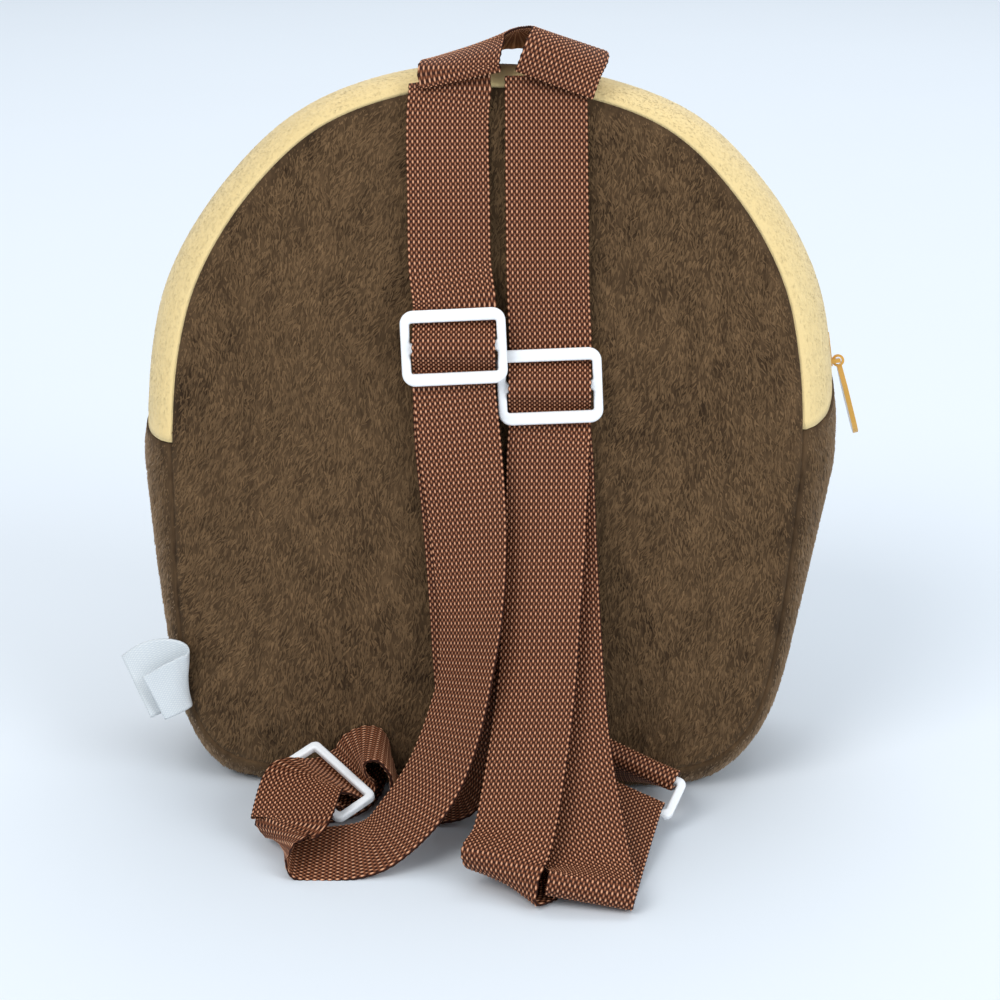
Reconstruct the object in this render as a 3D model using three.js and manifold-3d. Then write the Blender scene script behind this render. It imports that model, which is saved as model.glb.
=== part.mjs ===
// A small plush backpack standing on its base, with its strap side facing -Y.
// Millimetres, +Z up, origin at the middle of the flat base.
// The body is a back panel and a front panel joined by a gusset: plush round the base and the sides,
// fleece with a zip over the top.
// Webbing straps, a grab handle and a blank label are sewn into the back seam.

import * as THREE from 'three';
import { mergeVertices } from 'three/addons/utils/BufferGeometryUtils.js';
import Module from 'manifold-3d';

const wasm = await Module();
wasm.setup();

// Driving dimensions of the bag
const BAG_DEPTH = 70;
const LEAN = THREE.MathUtils.degToRad(12);
const SEAM_RISE = 7;
const SEAM_DIP = 1.5;
const BACK_CROWN = 7;
const FRONT_CROWN = 15;
const CROWN_POWER = 2.6;
const PLUSH_WALL = 3;
const FLEECE_WALL = 2.4;
const EDGE_WALL = 1.2;
const SEW_GAP = 0.4;
const SIDE_BULGE = 10.3;
const LOW_BULGE = 0.1;
const FULL_BULGE_HEIGHT = 100;
const TOP_BULGE = 7.4;
const BASE_BULGE = 10;
const BULGE_POWER = 0.6;
const THIN_EDGE = 0.125;

// The seam that joins panel and gusset, from the middle of the base to the middle of the top
const SEAM_ROWS = [
  { height: 0, left: 0, right: 0 },
  { height: 0, left: 42, right: 38 },
  { height: 1, left: 68, right: 60 },
  { height: 6, left: 83.5, right: 74 },
  { height: 18, left: 91.5, right: 84 },
  { height: 47, left: 96, right: 91 },
  { height: 78, left: 97.5, right: 95 },
  { height: 102, left: 98, right: 97 },
  { height: 127, left: 96, right: 95.5 },
  { height: 149, left: 90, right: 90.5 },
  { height: 173, left: 75.5, right: 77 },
  { height: 194, left: 53.5, right: 55.5 },
  { height: 204.5, left: 27, right: 27.5 },
  { height: 207, left: 0, right: 0 },
];
const PANEL_MIDDLE = 104;

// Where the fleece meets the plush, on the seam and further forward
const JOIN = {
  left: { height: 100, rise: 8 },
  right: { height: 105.5, rise: 24 },
};

// Zip along the middle of the fleece
const ZIP_SLOT = 7;
const ZIP_TAPE = { width: 16, thick: 0.8 };
const ZIP_COIL = { width: 4.6, thick: 1.9 };
const ZIP_START = 2;
const SLIDER = {
  length: 11,
  width: 6.2,
  taper: 0.75,
  thick: 2.4,
  bar: 1.3,
  barDown: 4,
  post: 1.1,
  rise: 2,
};
const PULL = { eye: 2, hole: 1.2, eyeWidth: 2.2, length: 24, width: 7, thick: 1.6, swing: 7 };

// Webbing
const WEBBING = { width: 25, thick: 1.3 };
const SEGMENT = 5;
const BAR_CLEAR = 2.9;

// Moulded adjusters and rings
const GLIDE = {
  width: 31.8,
  height: 22.8,
  side: 2.8,
  frame: 3.8,
  centre: 3,
  thick: 2.4,
  corner: 4,
  bevel: 0.5,
};
const RING = { width: 32, height: 15, frame: 2.6, thick: 2.6, corner: 2.4, bevel: 0.5 };
const RING_BAR = (RING.height - RING.frame) / 2;

const GLIDES = {
  left: { x: -9.8, out: 17.6, z: 141, roll: 3 },
  right: { x: 19.1, out: 12.8, z: 128.4, roll: 2.7 },
};
// A ring's turn and lift give its long bars, and its pitch how far the bar away from the bag dips
const RINGS = {
  left: { x: -48, y: -52, z: 11.4, turn: 48, lift: -14, pitch: 20 },
  right: { x: 44.6, y: -53, z: 13.4, turn: 16, lift: -18, pitch: 32 },
};

// Strap routes, top end first: out is the distance in front of the leaning back plane, turn swings the
// right edge towards the wearer and lift raises it
const STRAP_TOPS = {
  left: [
    { x: -12.3, out: 1.3, z: 216.6, turn: 0, lift: 4 },
    { x: -12, out: 1.8, z: 214.5, turn: 0, lift: 0 },
    { x: -12.6, out: 3.4, z: 205, turn: 0, lift: 0 },
    { x: -12, out: 7.8, z: 182, turn: 0, lift: 0 },
    { x: -11.4, out: 10.2, z: 163, turn: 0, lift: 0 },
  ],
  right: [
    { x: 17.1, out: 0.9, z: 217.6, turn: 0, lift: 0 },
    { x: 17.2, out: 1.8, z: 214, turn: 0, lift: 0 },
    { x: 17.4, out: 3.6, z: 204, turn: 0, lift: 0 },
    { x: 17.8, out: 7.8, z: 181, turn: 0, lift: 0 },
    { x: 18.4, out: 10, z: 155, turn: 0, lift: 0 },
  ],
};
const STRAP_FRONTS = {
  left: [
    { x: -8, out: 16.6, z: 113, turn: 2, lift: 0 },
    { x: -4.9, out: 19.4, z: 84, turn: 24, lift: 0 },
    { x: -4, out: 24, z: 62, turn: 43, lift: 0 },
    { x: -6, out: 29, z: 44.5, turn: 53, lift: 0 },
    { x: -13.2, out: 38, z: 23.5, turn: 51, lift: -2 },
    { x: -21.5, y: -76.5, z: 12.5, turn: 58, lift: -8 },
    { x: -32, y: -82, z: 4.6, turn: 74, lift: -11 },
  ],
  right: [
    { x: 18.6, out: 13, z: 108, turn: 6, lift: 0 },
    { x: 18.1, out: 20, z: 84, turn: 18, lift: 0 },
    { x: 17.2, out: 26, z: 67.6, turn: 22, lift: 0 },
    { x: 16, out: 34, z: 47, turn: 26, lift: 0 },
    { x: 12.8, out: 49, z: 26.4, turn: 20, lift: 6 },
    { x: 10.2, y: -92.5, z: 15.8, turn: 22, lift: 4 },
  ],
};
const STRAP_RETURNS = {
  left: [
    { x: -40.4, y: -45.4, z: 13.5, turn: 56, lift: -8 },
    { x: -39.8, y: -45.4, z: 17, turn: 68, lift: -6 },
    { x: -37, y: -45.2, z: 20.4, turn: 82, lift: -2 },
    { x: -32.8, y: -45.2, z: 20.6, turn: 86, lift: 0 },
    { x: -30, y: -45.4, z: 17, turn: 85, lift: 0 },
    { x: -28.6, y: -45.8, z: 11, turn: 85, lift: 0 },
    { x: -27, y: -46.2, z: 5, turn: 86, lift: 0 },
    { x: -22.6, y: -46.5, z: 1.8, turn: 86, lift: 0 },
    { x: -14.5, y: -46.8, z: 1.6, turn: 84, lift: 0 },
    { x: -7.6, y: -47, z: 4.4, turn: 76, lift: 0 },
    { x: -5, y: -46.6, z: 12, turn: 56, lift: 0 },
    { x: -4, out: 13, z: 26, turn: 32, lift: 0 },
    { x: -4.2, out: 13, z: 48, turn: 14, lift: 0 },
    { x: -6.4, out: 13.4, z: 84, turn: 4, lift: 0 },
    { x: -9.4, out: 13.2, z: 114, turn: 0, lift: 0 },
  ],
  right: [
    { x: 31.2, y: -99, z: 8.8, turn: 4, lift: 2 },
    { x: 28.6, y: -84, z: 17, turn: 6, lift: 3 },
    { x: 25.6, out: 39, z: 31, turn: 10, lift: 2 },
    { x: 23.8, out: 29.4, z: 47.5, turn: 12, lift: 2 },
    { x: 21.6, out: 16.6, z: 78, turn: 10, lift: 0 },
    { x: 20, out: 9.6, z: 106, turn: 2, lift: 0 },
  ],
};
// Round turns of the straps where they meet the floor, as bars that they pass round: angle 0 is straight
// away from the bag and 90 is up, and drift is how far the strap slips along the bar
const FLOOR_TURNS = {
  left: { x: -55.6, y: -81, z: 6.6, turn: 62, lift: -10, pitch: 0, radius: 3.6, drift: -1.9 },
  rightFront: { x: 9, y: -101.5, z: 8.4, turn: 30, lift: -13, pitch: 0, radius: 4.4, drift: -1.4 },
  rightRear: { x: 32.2, y: -110, z: 6.1, turn: 5, lift: -9, pitch: 0, radius: 3.4, drift: 0 },
};
const LEFT_FLOOR_ANGLES = [-90, -45, 0, 45, 90];
const RIGHT_FRONT_ANGLES = [45, 0, -45, -90];
const RIGHT_REAR_ANGLES = [-90, -45, 0, 45, 80];
const RIGHT_UNDER = [{ x: 24, y: -81, z: 1.9, turn: 30, lift: -3 }];

// The left strap goes over one bar of its ring and under the other, and its tab lies folded underneath
const LEFT_THREAD = [
  { away: RING_BAR, up: 7, side: 0, skew: 16 },
  { away: 1.5, up: 3.8, side: 0, skew: 10 },
  { away: -2.2, up: -0.4, side: 0, skew: 6 },
  { away: -5, up: -2.8, side: 0, skew: 3 },
  { away: -7.5, up: -3.1, side: 0, skew: 0 },
];
const LEFT_TAB_OUT = [
  { x: -44.5, y: -42, z: 7.7, turn: 14, lift: -4 },
  { x: -46.6, y: -47.6, z: 7.8, turn: 30, lift: -9 },
];
const LEFT_TAB_BACK = [
  { x: -46.6, y: -47.4, z: 4.1, turn: 30, lift: -6 },
  { x: -44.5, y: -42, z: 4.3, turn: 14, lift: -2 },
];
const LEFT_TAB_RISE = [{ away: 2.9, up: -2.4, side: 0, skew: 0 }];
const LEFT_TAB_FALL = [{ away: 2.8, up: -5.9, side: 0, skew: 7 }];
const LEFT_TAB_ANGLES = [180, 135, 90, 45, 0, -45, -90];
const RIGHT_TAB_ANGLES = [165, 122, 80, 35, -15];
const RIGHT_STRAP_ANGLES = [-90, -135, 180, 135, 90];

// Sewn ends of the ring tabs, at the bottom seam
const TAB_SEAMS = {
  left: { x: -43.7, out: 0.6, z: 6, turn: 3, lift: 0, spread: 1.5, straight: 1.5 },
  right: { x: 47.5, out: 1.6, z: 7, turn: 6, lift: 0, spread: 1.2, straight: 1 },
};

// Grab handle: two feet side by side on the strap tops, and a twisted bight behind them
const HANDLE_ROUTE = [
  { x: -8.6, out: 4.2, z: 216.4, turn: 0, lift: 6 },
  { x: -9.3, out: 4.3, z: 219.6, turn: 2, lift: 4 },
  { x: -8.6, out: 0.6, z: 222.6, turn: 10, lift: 8 },
  { x: -5.8, out: -9.2, z: 224.6, turn: 30, lift: 18 },
  { x: 0.2, out: -15.1, z: 225.6, turn: 60, lift: 20 },
  { x: 8.3, out: -17.3, z: 226.4, turn: 90, lift: 20 },
  { x: 16.5, out: -15.1, z: 226.8, turn: 120, lift: 20 },
  { x: 22.4, out: -9.2, z: 227, turn: 150, lift: 20 },
  { x: 24.6, out: -1.5, z: 227, turn: 162, lift: 18 },
  { x: 22.4, out: 5, z: 223, turn: 172, lift: 13 },
  { x: 19.6, out: 5, z: 215.2, turn: 180, lift: 10 },
];

// Blank label: a satin strip doubled at the left side seam, its front half shorter and narrower
const LABEL = { thick: 0.6, segment: 2.5 };
const LABEL_ROUTE = [
  { x: -109.6, out: 1.6, z: 32.6, turn: -128, lift: 52, wide: 22 },
  { x: -103.2, out: 0.6, z: 35.6, turn: -116, lift: 70, wide: 23 },
  { x: -97.8, out: 0.6, z: 36.6, turn: -100, lift: 84, wide: 22 },
  { x: -94.2, out: 1.8, z: 36.4, turn: -95, lift: 87, wide: 20 },
  { x: -93, out: 3.7, z: 36, turn: -95, lift: 87, wide: 18 },
  { x: -94.4, out: 5.5, z: 35.4, turn: -98, lift: 86, wide: 17 },
  { x: -98.6, out: 6.8, z: 33.4, turn: -106, lift: 82, wide: 16 },
  { x: -103.2, out: 6.6, z: 31, turn: -112, lift: 79, wide: 15 },
];

// Mesh density
const SEAM_STEPS = 60;
const PANEL_RINGS = [0.34, 0.6, 0.78, 0.9, 0.97, 1];
const BASE_STEPS = 46;
const TOP_STEPS = 40;
const PLUSH_ACROSS = 9;
const FLEECE_ACROSS = 5;
const BISECTIONS = 40;
const MERGE_DISTANCE = 1e-4;

const material = (color, roughness) => new THREE.MeshStandardMaterial({ color, roughness, metalness: 0 });
const PLUSH = material(0x5f4b32, 0.95);
const FLEECE = material(0xf0d79b, 0.95);
const BROWN_WEBBING = material(0x8c553a, 0.8);
const WHITE_PLASTIC = material(0xf0f4f8, 0.35);
const SATIN = material(0xdde2e2, 0.5);
const TAPE_CLOTH = material(0xe0c080, 0.9);
const COIL_PLASTIC = material(0xdcb878, 0.5);
const PULL_METAL = material(0xd7a550, 0.45);

const bag = new THREE.Group();
const { lerp, degToRad } = THREE.MathUtils;

// Adds a named mesh of the triangles, turned so that its faces point out
function addBody(name, look, points, triangles, parent = bag) {
  const volume = triangles.reduce((sum, [a, b, c]) => {
    return sum + points[a].dot(new THREE.Vector3().crossVectors(points[b], points[c])) / 6;
  }, 0);
  const order = volume < 0 ? ([a, b, c]) => [a, c, b] : (t) => t;
  const geometry = new THREE.BufferGeometry();
  const places = points.flatMap((p) => [p.x, p.y, p.z]);
  geometry.setAttribute('position', new THREE.Float32BufferAttribute(places, 3));
  geometry.setIndex(triangles.flatMap(order));
  geometry.computeVertexNormals();
  return addMesh(name, look, geometry, parent);
}

function addMesh(name, look, geometry, parent = bag) {
  const mesh = new THREE.Mesh(geometry, look);
  mesh.name = name;
  parent.add(mesh);
  return mesh;
}

// The seam as a closed curve in the plane of the panel: x across, z up, by share of its length
const seamHeight = SEAM_RISE + SEAM_ROWS.at(-1).height;
const rightSeam = SEAM_ROWS.map((row) => new THREE.Vector3(row.right, 0, SEAM_RISE + row.height));
const leftSeam = SEAM_ROWS.slice(1, -1).reverse().map((row) => {
  return new THREE.Vector3(-row.left, 0, SEAM_RISE + row.height);
});
const seam = new THREE.CatmullRomCurve3([...rightSeam, ...leftSeam], true, 'centripetal');

// A point of the seam with its outward direction
function seamAt(share) {
  const at = ((share % 1) + 1) % 1;
  const point = seam.getPointAt(at);
  const along = seam.getTangentAt(at);
  return { x: point.x, height: point.z, outX: along.z, outHeight: -along.x };
}

// The share of the seam's length at which one side reaches a height
function seamShare(side, height) {
  let low = side === 'right' ? 0 : 1;
  let high = 0.5;
  for (let step = 0; step < BISECTIONS; step += 1) {
    const middle = (low + high) / 2;
    if (seam.getPointAt(middle).z < height) low = middle;
    else high = middle;
  }
  return low;
}

const backPlane = (z) => z * Math.tan(LEAN) - BAG_DEPTH / 2;
const frontScale = 1 - (BAG_DEPTH * Math.tan(LEAN)) / seamHeight;

// Leans the bag back and lowers its front, so that the depth runs square to the panel at the top
function place(x, depth, height) {
  const z = height * lerp(1, frontScale, depth / BAG_DEPTH);
  return new THREE.Vector3(x, backPlane(z) + depth, z);
}

// A crowned panel: rings from its middle to the seam, on the outside and on the inside of its wall
function addPanel(name, seamDepth, outward, crown) {
  const points = [];
  const triangles = [];
  const layers = [0, PLUSH_WALL].map((inset) => {
    const depthAt = (rho) => {
      const swell = (crown + SEAM_DIP) * (1 - rho ** CROWN_POWER) - SEAM_DIP - inset;
      return seamDepth + outward * swell;
    };
    const middle = points.push(place(0, depthAt(0), PANEL_MIDDLE)) - 1;
    const rings = PANEL_RINGS.map((rho) => {
      const first = points.length;
      for (let step = 0; step < SEAM_STEPS; step += 1) {
        const at = seamAt(step / SEAM_STEPS);
        const height = lerp(PANEL_MIDDLE, at.height, rho);
        points.push(place(at.x * rho, depthAt(rho), height));
      }
      return first;
    });
    return { middle, rings };
  });
  const flip = (turned, [a, b, c]) => (turned ? [a, c, b] : [a, b, c]);
  layers.forEach(({ middle, rings }, layer) => {
    for (let step = 0; step < SEAM_STEPS; step += 1) {
      const next = (step + 1) % SEAM_STEPS;
      triangles.push(flip(layer, [middle, rings[0] + step, rings[0] + next]));
      for (let ring = 1; ring < rings.length; ring += 1) {
        const [a, b] = [rings[ring - 1], rings[ring]];
        triangles.push(flip(layer, [a + step, b + step, b + next]));
        triangles.push(flip(layer, [a + step, b + next, a + next]));
      }
    }
  });
  const [outer, inner] = layers.map((layer) => layer.rings.at(-1));
  for (let step = 0; step < SEAM_STEPS; step += 1) {
    const next = (step + 1) % SEAM_STEPS;
    triangles.push([outer + step, inner + step, inner + next], [outer + step, inner + next, outer + next]);
  }
  addBody(name, PLUSH, points, triangles);
}

// A closed body through sections, each a row of outer points and a row of inner points behind them; both
// faces are split along the same diagonals, so that a twisted sheet stays whole
function addLoft(name, look, sections) {
  const points = [];
  const triangles = [];
  const across = sections[0].outer.length;
  const round = 2 * across;
  sections.forEach(({ outer, inner }) => points.push(...outer, ...inner.slice().reverse()));
  const quad = (a, b, c, d) => triangles.push([a, b, c], [a, c, d]);
  for (let row = 0; row < sections.length - 1; row += 1) {
    for (let k = 0; k < round; k += 1) {
      const next = (k + 1) % round;
      const [a, b] = [row * round + k, row * round + next];
      const [c, d] = [b + round, a + round];
      if (k < across) quad(a, b, c, d);
      else quad(b, c, d, a);
    }
  }
  const last = (sections.length - 1) * round;
  for (let k = 0; k < across - 1; k += 1) {
    const behind = round - 1 - k;
    quad(k, behind, behind - 1, k + 1);
    quad(last + k, last + k + 1, last + behind - 1, last + behind);
  }
  addBody(name, look, points, triangles);
}

// How far the gusset swells between its two seams
function bulge(at, across) {
  const end = at.outHeight > 0 ? TOP_BULGE : BASE_BULGE;
  const side = SIDE_BULGE * lerp(LOW_BULGE, 1, Math.min(1, at.height / FULL_BULGE_HEIGHT));
  return lerp(side, end, at.outHeight ** 2) * Math.sin(Math.PI * across) ** BULGE_POWER;
}

// A point of the gusset, offset outward from the seam and never below the surface it stands on
function gussetPoint(share, across, offset, lowest) {
  const at = seamAt(share);
  const away = SEW_GAP + bulge(at, across) + offset;
  const depth = lerp(SEAM_DIP, BAG_DEPTH - SEAM_DIP, across);
  const height = Math.max(at.height + at.outHeight * away, lowest);
  return place(at.x + at.outX * away, depth, height);
}

const joinHeight = (side, across) => SEAM_RISE + JOIN[side].height + JOIN[side].rise * across;

// A length of gusset between the shares first and last, which may depend on the depth
function addGusset(name, look, { first, last, steps, from, to, rows, wall, sink = 0 }) {
  const sections = [];
  for (let step = 0; step <= steps; step += 1) {
    const section = { outer: [], inner: [] };
    for (let row = 0; row < rows; row += 1) {
      const across = lerp(from, to, row / (rows - 1));
      const share = lerp(first(across), last(across), step / steps);
      const edge = Math.min(1, Math.min(across, 1 - across) / THIN_EDGE);
      const thick = look === PLUSH || look === FLEECE ? lerp(EDGE_WALL, wall, edge) : wall;
      section.outer.push(gussetPoint(share, across, thick - sink, 0));
      section.inner.push(gussetPoint(share, across, -sink, thick));
    }
    sections.push(section);
  }
  addLoft(name, look, sections);
}

const gapShare = SEW_GAP / seam.getLength();
const rightJoin = (across) => seamShare('right', joinHeight('right', across));
const leftJoin = (across) => seamShare('left', joinHeight('left', across));

addPanel('back_panel', 0, -1, BACK_CROWN);
addPanel('front_panel', BAG_DEPTH, 1, FRONT_CROWN);
addGusset('gusset_base', PLUSH, {
  first: (across) => leftJoin(across) + gapShare,
  last: (across) => 1 + rightJoin(across) - gapShare,
  steps: BASE_STEPS,
  from: 0,
  to: 1,
  rows: PLUSH_ACROSS,
  wall: PLUSH_WALL,
});

const slot = ZIP_SLOT / BAG_DEPTH / 2;
const top = { first: rightJoin, last: leftJoin, steps: TOP_STEPS, rows: FLEECE_ACROSS, wall: FLEECE_WALL };
addGusset('gusset_top_back', FLEECE, { ...top, from: 0, to: 0.5 - slot });
addGusset('gusset_top_front', FLEECE, { ...top, from: 0.5 + slot, to: 1 });

// Zip tape behind the slot, and the coil that fills the slot up to the slider
const middleRight = rightJoin(0.5);
const middleLeft = leftJoin(0.5);
const shareOf = (length) => length / seam.getLength();
const sliderShare = middleRight + shareOf(ZIP_START + SLIDER.length / 2);
const halfShare = (width) => width / BAG_DEPTH / 2;
addGusset('zip_tape', TAPE_CLOTH, {
  first: () => middleRight,
  last: () => middleLeft,
  steps: TOP_STEPS,
  from: 0.5 - halfShare(ZIP_TAPE.width),
  to: 0.5 + halfShare(ZIP_TAPE.width),
  rows: 3,
  wall: ZIP_TAPE.thick,
  sink: ZIP_TAPE.thick + SEW_GAP,
});
addGusset('zip_coil', COIL_PLASTIC, {
  first: () => sliderShare + shareOf(SLIDER.length / 2 + SEW_GAP),
  last: () => middleLeft - shareOf(ZIP_START),
  steps: TOP_STEPS,
  from: 0.5 - halfShare(ZIP_COIL.width),
  to: 0.5 + halfShare(ZIP_COIL.width),
  rows: 2,
  wall: ZIP_COIL.thick,
});

// Solids for joining, with only their positions kept
function solidOf(geometry) {
  const bare = geometry.clone();
  bare.deleteAttribute('normal');
  bare.deleteAttribute('uv');
  const whole = mergeVertices(bare, MERGE_DISTANCE);
  const vertProperties = new Float32Array(whole.attributes.position.array);
  const triVerts = new Uint32Array(whole.index.array);
  return new wasm.Manifold(new wasm.Mesh({ numProp: 3, vertProperties, triVerts }));
}

function geometryOf(solid) {
  const mesh = solid.getMesh();
  const geometry = new THREE.BufferGeometry();
  geometry.setAttribute('position', new THREE.BufferAttribute(mesh.vertProperties, 3));
  geometry.setIndex(new THREE.BufferAttribute(mesh.triVerts, 1));
  geometry.computeVertexNormals();
  return geometry;
}

// Slider and pull share a frame at the bridge bar: x away from the bag, z along the zip, y along the bar
const sliderAt = seamAt(sliderShare);
const barAway = SLIDER.thick + SLIDER.rise;
const barShare = sliderShare - shareOf(SLIDER.barDown);
const barAt = gussetPoint(barShare, 0.5, barAway, 0);
const alongZip = gussetPoint(sliderShare + shareOf(1), 0.5, 0, 0).sub(gussetPoint(sliderShare, 0.5, 0, 0));
const zipUp = alongZip.normalize();
const zipOut = new THREE.Vector3(sliderAt.outX, 0, sliderAt.outHeight);
zipOut.addScaledVector(zipUp, -zipOut.dot(zipUp)).normalize();
const zipAcross = new THREE.Vector3().crossVectors(zipUp, zipOut);
const zipFrame = new THREE.Group();
zipFrame.position.copy(barAt);
zipFrame.quaternion.setFromRotationMatrix(new THREE.Matrix4().makeBasis(zipOut, zipAcross, zipUp));
bag.add(zipFrame);

function sliderGeometry() {
  const plate = new THREE.Shape();
  const end = SLIDER.length / 2;
  const side = SLIDER.width / 2;
  plate.moveTo(-side, end);
  plate.lineTo(-side * SLIDER.taper, -end);
  plate.lineTo(side * SLIDER.taper, -end);
  plate.lineTo(side, end);
  plate.closePath();
  const bodyUp = new THREE.Matrix4().makeBasis(
    new THREE.Vector3(0, 1, 0),
    new THREE.Vector3(0, 0, 1),
    new THREE.Vector3(1, 0, 0),
  );
  const flat = new THREE.ExtrudeGeometry(plate, { depth: SLIDER.thick, bevelEnabled: false });
  flat.applyMatrix4(bodyUp).translate(-SLIDER.rise - SLIDER.thick, 0, SLIDER.barDown);
  const reach = SLIDER.bar / 2;
  const opening = PULL.eyeWidth / 2 + 2 * SEW_GAP;
  const arch = new THREE.Shape();
  arch.moveTo(-opening - SLIDER.post, -SLIDER.rise - reach);
  arch.lineTo(opening + SLIDER.post, -SLIDER.rise - reach);
  arch.lineTo(opening + SLIDER.post, reach);
  arch.lineTo(-opening - SLIDER.post, reach);
  arch.closePath();
  const window = new THREE.Path();
  window.moveTo(-opening, -SLIDER.rise - reach / 2);
  window.lineTo(-opening, -reach);
  window.lineTo(opening, -reach);
  window.lineTo(opening, -SLIDER.rise - reach / 2);
  window.closePath();
  arch.holes.push(window);
  const bridge = new THREE.ExtrudeGeometry(arch, { depth: SLIDER.bar, bevelEnabled: false });
  bridge.translate(0, 0, -SLIDER.bar / 2);
  const bridgeUp = new THREE.Matrix4().makeBasis(
    new THREE.Vector3(0, 1, 0),
    new THREE.Vector3(1, 0, 0),
    new THREE.Vector3(0, 0, -1),
  );
  bridge.applyMatrix4(bridgeUp);
  return geometryOf(solidOf(flat).add(solidOf(bridge)));
}

function pullGeometry() {
  const ring = new THREE.Shape();
  ring.absarc(0, 0, PULL.eye, 0, 2 * Math.PI);
  const hole = new THREE.Path();
  hole.absarc(0, 0, PULL.hole, 0, 2 * Math.PI, true);
  ring.holes.push(hole);
  const eyeForm = { depth: PULL.eyeWidth, bevelEnabled: false, curveSegments: 8 };
  const eye = new THREE.ExtrudeGeometry(ring, eyeForm);
  eye.translate(0, 0, -PULL.eyeWidth / 2).rotateX(Math.PI / 2);
  const start = -PULL.hole - (PULL.eye - PULL.hole) / 2;
  const half = PULL.width / 2;
  const neck = PULL.eyeWidth / 2;
  const leaf = new THREE.Shape();
  leaf.moveTo(-neck, start);
  leaf.lineTo(-half, start - 2 * half);
  leaf.absarc(0, -PULL.length + half, half, Math.PI, 2 * Math.PI);
  leaf.lineTo(half, start - 2 * half);
  leaf.lineTo(neck, start);
  leaf.closePath();
  const bladeForm = { depth: PULL.thick, bevelEnabled: false, curveSegments: 5 };
  const blade = new THREE.ExtrudeGeometry(leaf, bladeForm);
  const bladeUp = new THREE.Matrix4().makeBasis(
    new THREE.Vector3(0, 1, 0),
    new THREE.Vector3(0, 0, 1),
    new THREE.Vector3(1, 0, 0),
  );
  blade.applyMatrix4(bladeUp).translate(-PULL.thick / 2, 0, 0);
  return geometryOf(solidOf(eye).add(solidOf(blade)));
}

addMesh('zip_slider', PULL_METAL, sliderGeometry(), zipFrame);
const pull = addMesh('zip_pull', PULL_METAL, pullGeometry(), zipFrame);
pull.rotation.y = -degToRad(PULL.swing);

// A frame with rounded corners and slots, lying in its own x and y
function frameGeometry({ width, height, corner, thick, bevel }, slots) {
  const rounded = (path, w, h, r) => {
    path.moveTo(-w / 2 + r, -h / 2);
    path.lineTo(w / 2 - r, -h / 2);
    path.absarc(w / 2 - r, -h / 2 + r, r, -Math.PI / 2, 0);
    path.lineTo(w / 2, h / 2 - r);
    path.absarc(w / 2 - r, h / 2 - r, r, 0, Math.PI / 2);
    path.lineTo(-w / 2 + r, h / 2);
    path.absarc(-w / 2 + r, h / 2 - r, r, Math.PI / 2, Math.PI);
    path.lineTo(-w / 2, -h / 2 + r);
    path.absarc(-w / 2 + r, -h / 2 + r, r, Math.PI, 1.5 * Math.PI);
    return path;
  };
  const shape = rounded(new THREE.Shape(), width - 2 * bevel, height - 2 * bevel, corner - bevel);
  for (const { low, high, side } of slots) {
    const w = width - 2 * side + 2 * bevel;
    const hole = new THREE.Path();
    hole.moveTo(-w / 2, low - bevel);
    hole.lineTo(-w / 2, high + bevel);
    hole.lineTo(w / 2, high + bevel);
    hole.lineTo(w / 2, low - bevel);
    hole.closePath();
    shape.holes.push(hole);
  }
  const geometry = new THREE.ExtrudeGeometry(shape, {
    depth: thick - 2 * bevel,
    bevelSize: bevel,
    bevelThickness: bevel,
    bevelSegments: 1,
    curveSegments: 4,
  });
  return geometry.translate(0, 0, bevel - thick / 2);
}

// The direction of a ribbon's right edge, or of a ring's bars
function acrossOf(turn, lift) {
  const level = Math.cos(degToRad(lift));
  const x = Math.cos(degToRad(turn)) * level;
  const y = -Math.sin(degToRad(turn)) * level;
  return new THREE.Vector3(x, y, Math.sin(degToRad(lift)));
}

function station({ x, y, out, z, turn, lift, wide }) {
  const at = new THREE.Vector3(x, y ?? backPlane(z) - out, z);
  return { at, across: acrossOf(turn, lift).multiplyScalar(wide ?? 1) };
}

// A flat ribbon along smooth curves through its stations; where width isn't given, they give it
function addRibbon(name, look, stations, { width, thick }, segment) {
  const line = new THREE.CatmullRomCurve3(stations.map((s) => s.at), false, 'centripetal');
  const sway = new THREE.CatmullRomCurve3(stations.map((s) => s.across), false, 'centripetal');
  const marks = stations.slice(1).flatMap((next, k) => {
    const pieces = Math.max(1, Math.round(next.at.distanceTo(stations[k].at) / segment));
    return Array.from({ length: pieces }, (_, piece) => k + piece / pieces);
  });
  const sections = [];
  for (const mark of [...marks, stations.length - 1]) {
    const t = mark / (stations.length - 1);
    const at = line.getPoint(t);
    const along = line.getTangent(t);
    const across = sway.getPoint(t);
    const half = (width ?? across.length()) / 2;
    across.addScaledVector(along, -across.dot(along)).setLength(half);
    const up = new THREE.Vector3().crossVectors(across, along).setLength(thick / 2);
    const corner = (side, face) => at.clone().addScaledVector(across, side).addScaledVector(up, face);
    sections.push({ outer: [corner(-1, 1), corner(1, 1)], inner: [corner(-1, -1), corner(1, -1)] });
  }
  addLoft(name, look, sections);
}

// Axes of a ring: across along its bars, away from the bag's bar to the strap's bar, and up
function ringAxes({ x, y, z, turn, lift, pitch }) {
  const across = acrossOf(turn, lift);
  const level = new THREE.Vector3().crossVectors(across, new THREE.Vector3(0, 0, 1)).negate().normalize();
  const square = new THREE.Vector3().crossVectors(level, across).normalize();
  const raised = square.z < 0 ? square.negate() : square;
  const away = level.multiplyScalar(-Math.cos(degToRad(pitch)));
  if (away.y > 0) away.negate();
  away.addScaledVector(raised, -Math.sin(degToRad(pitch))).normalize();
  const up = new THREE.Vector3().crossVectors(across, away).normalize();
  if (up.z < 0) up.negate();
  return { at: new THREE.Vector3(x, y, z), across, away, up };
}

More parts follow.
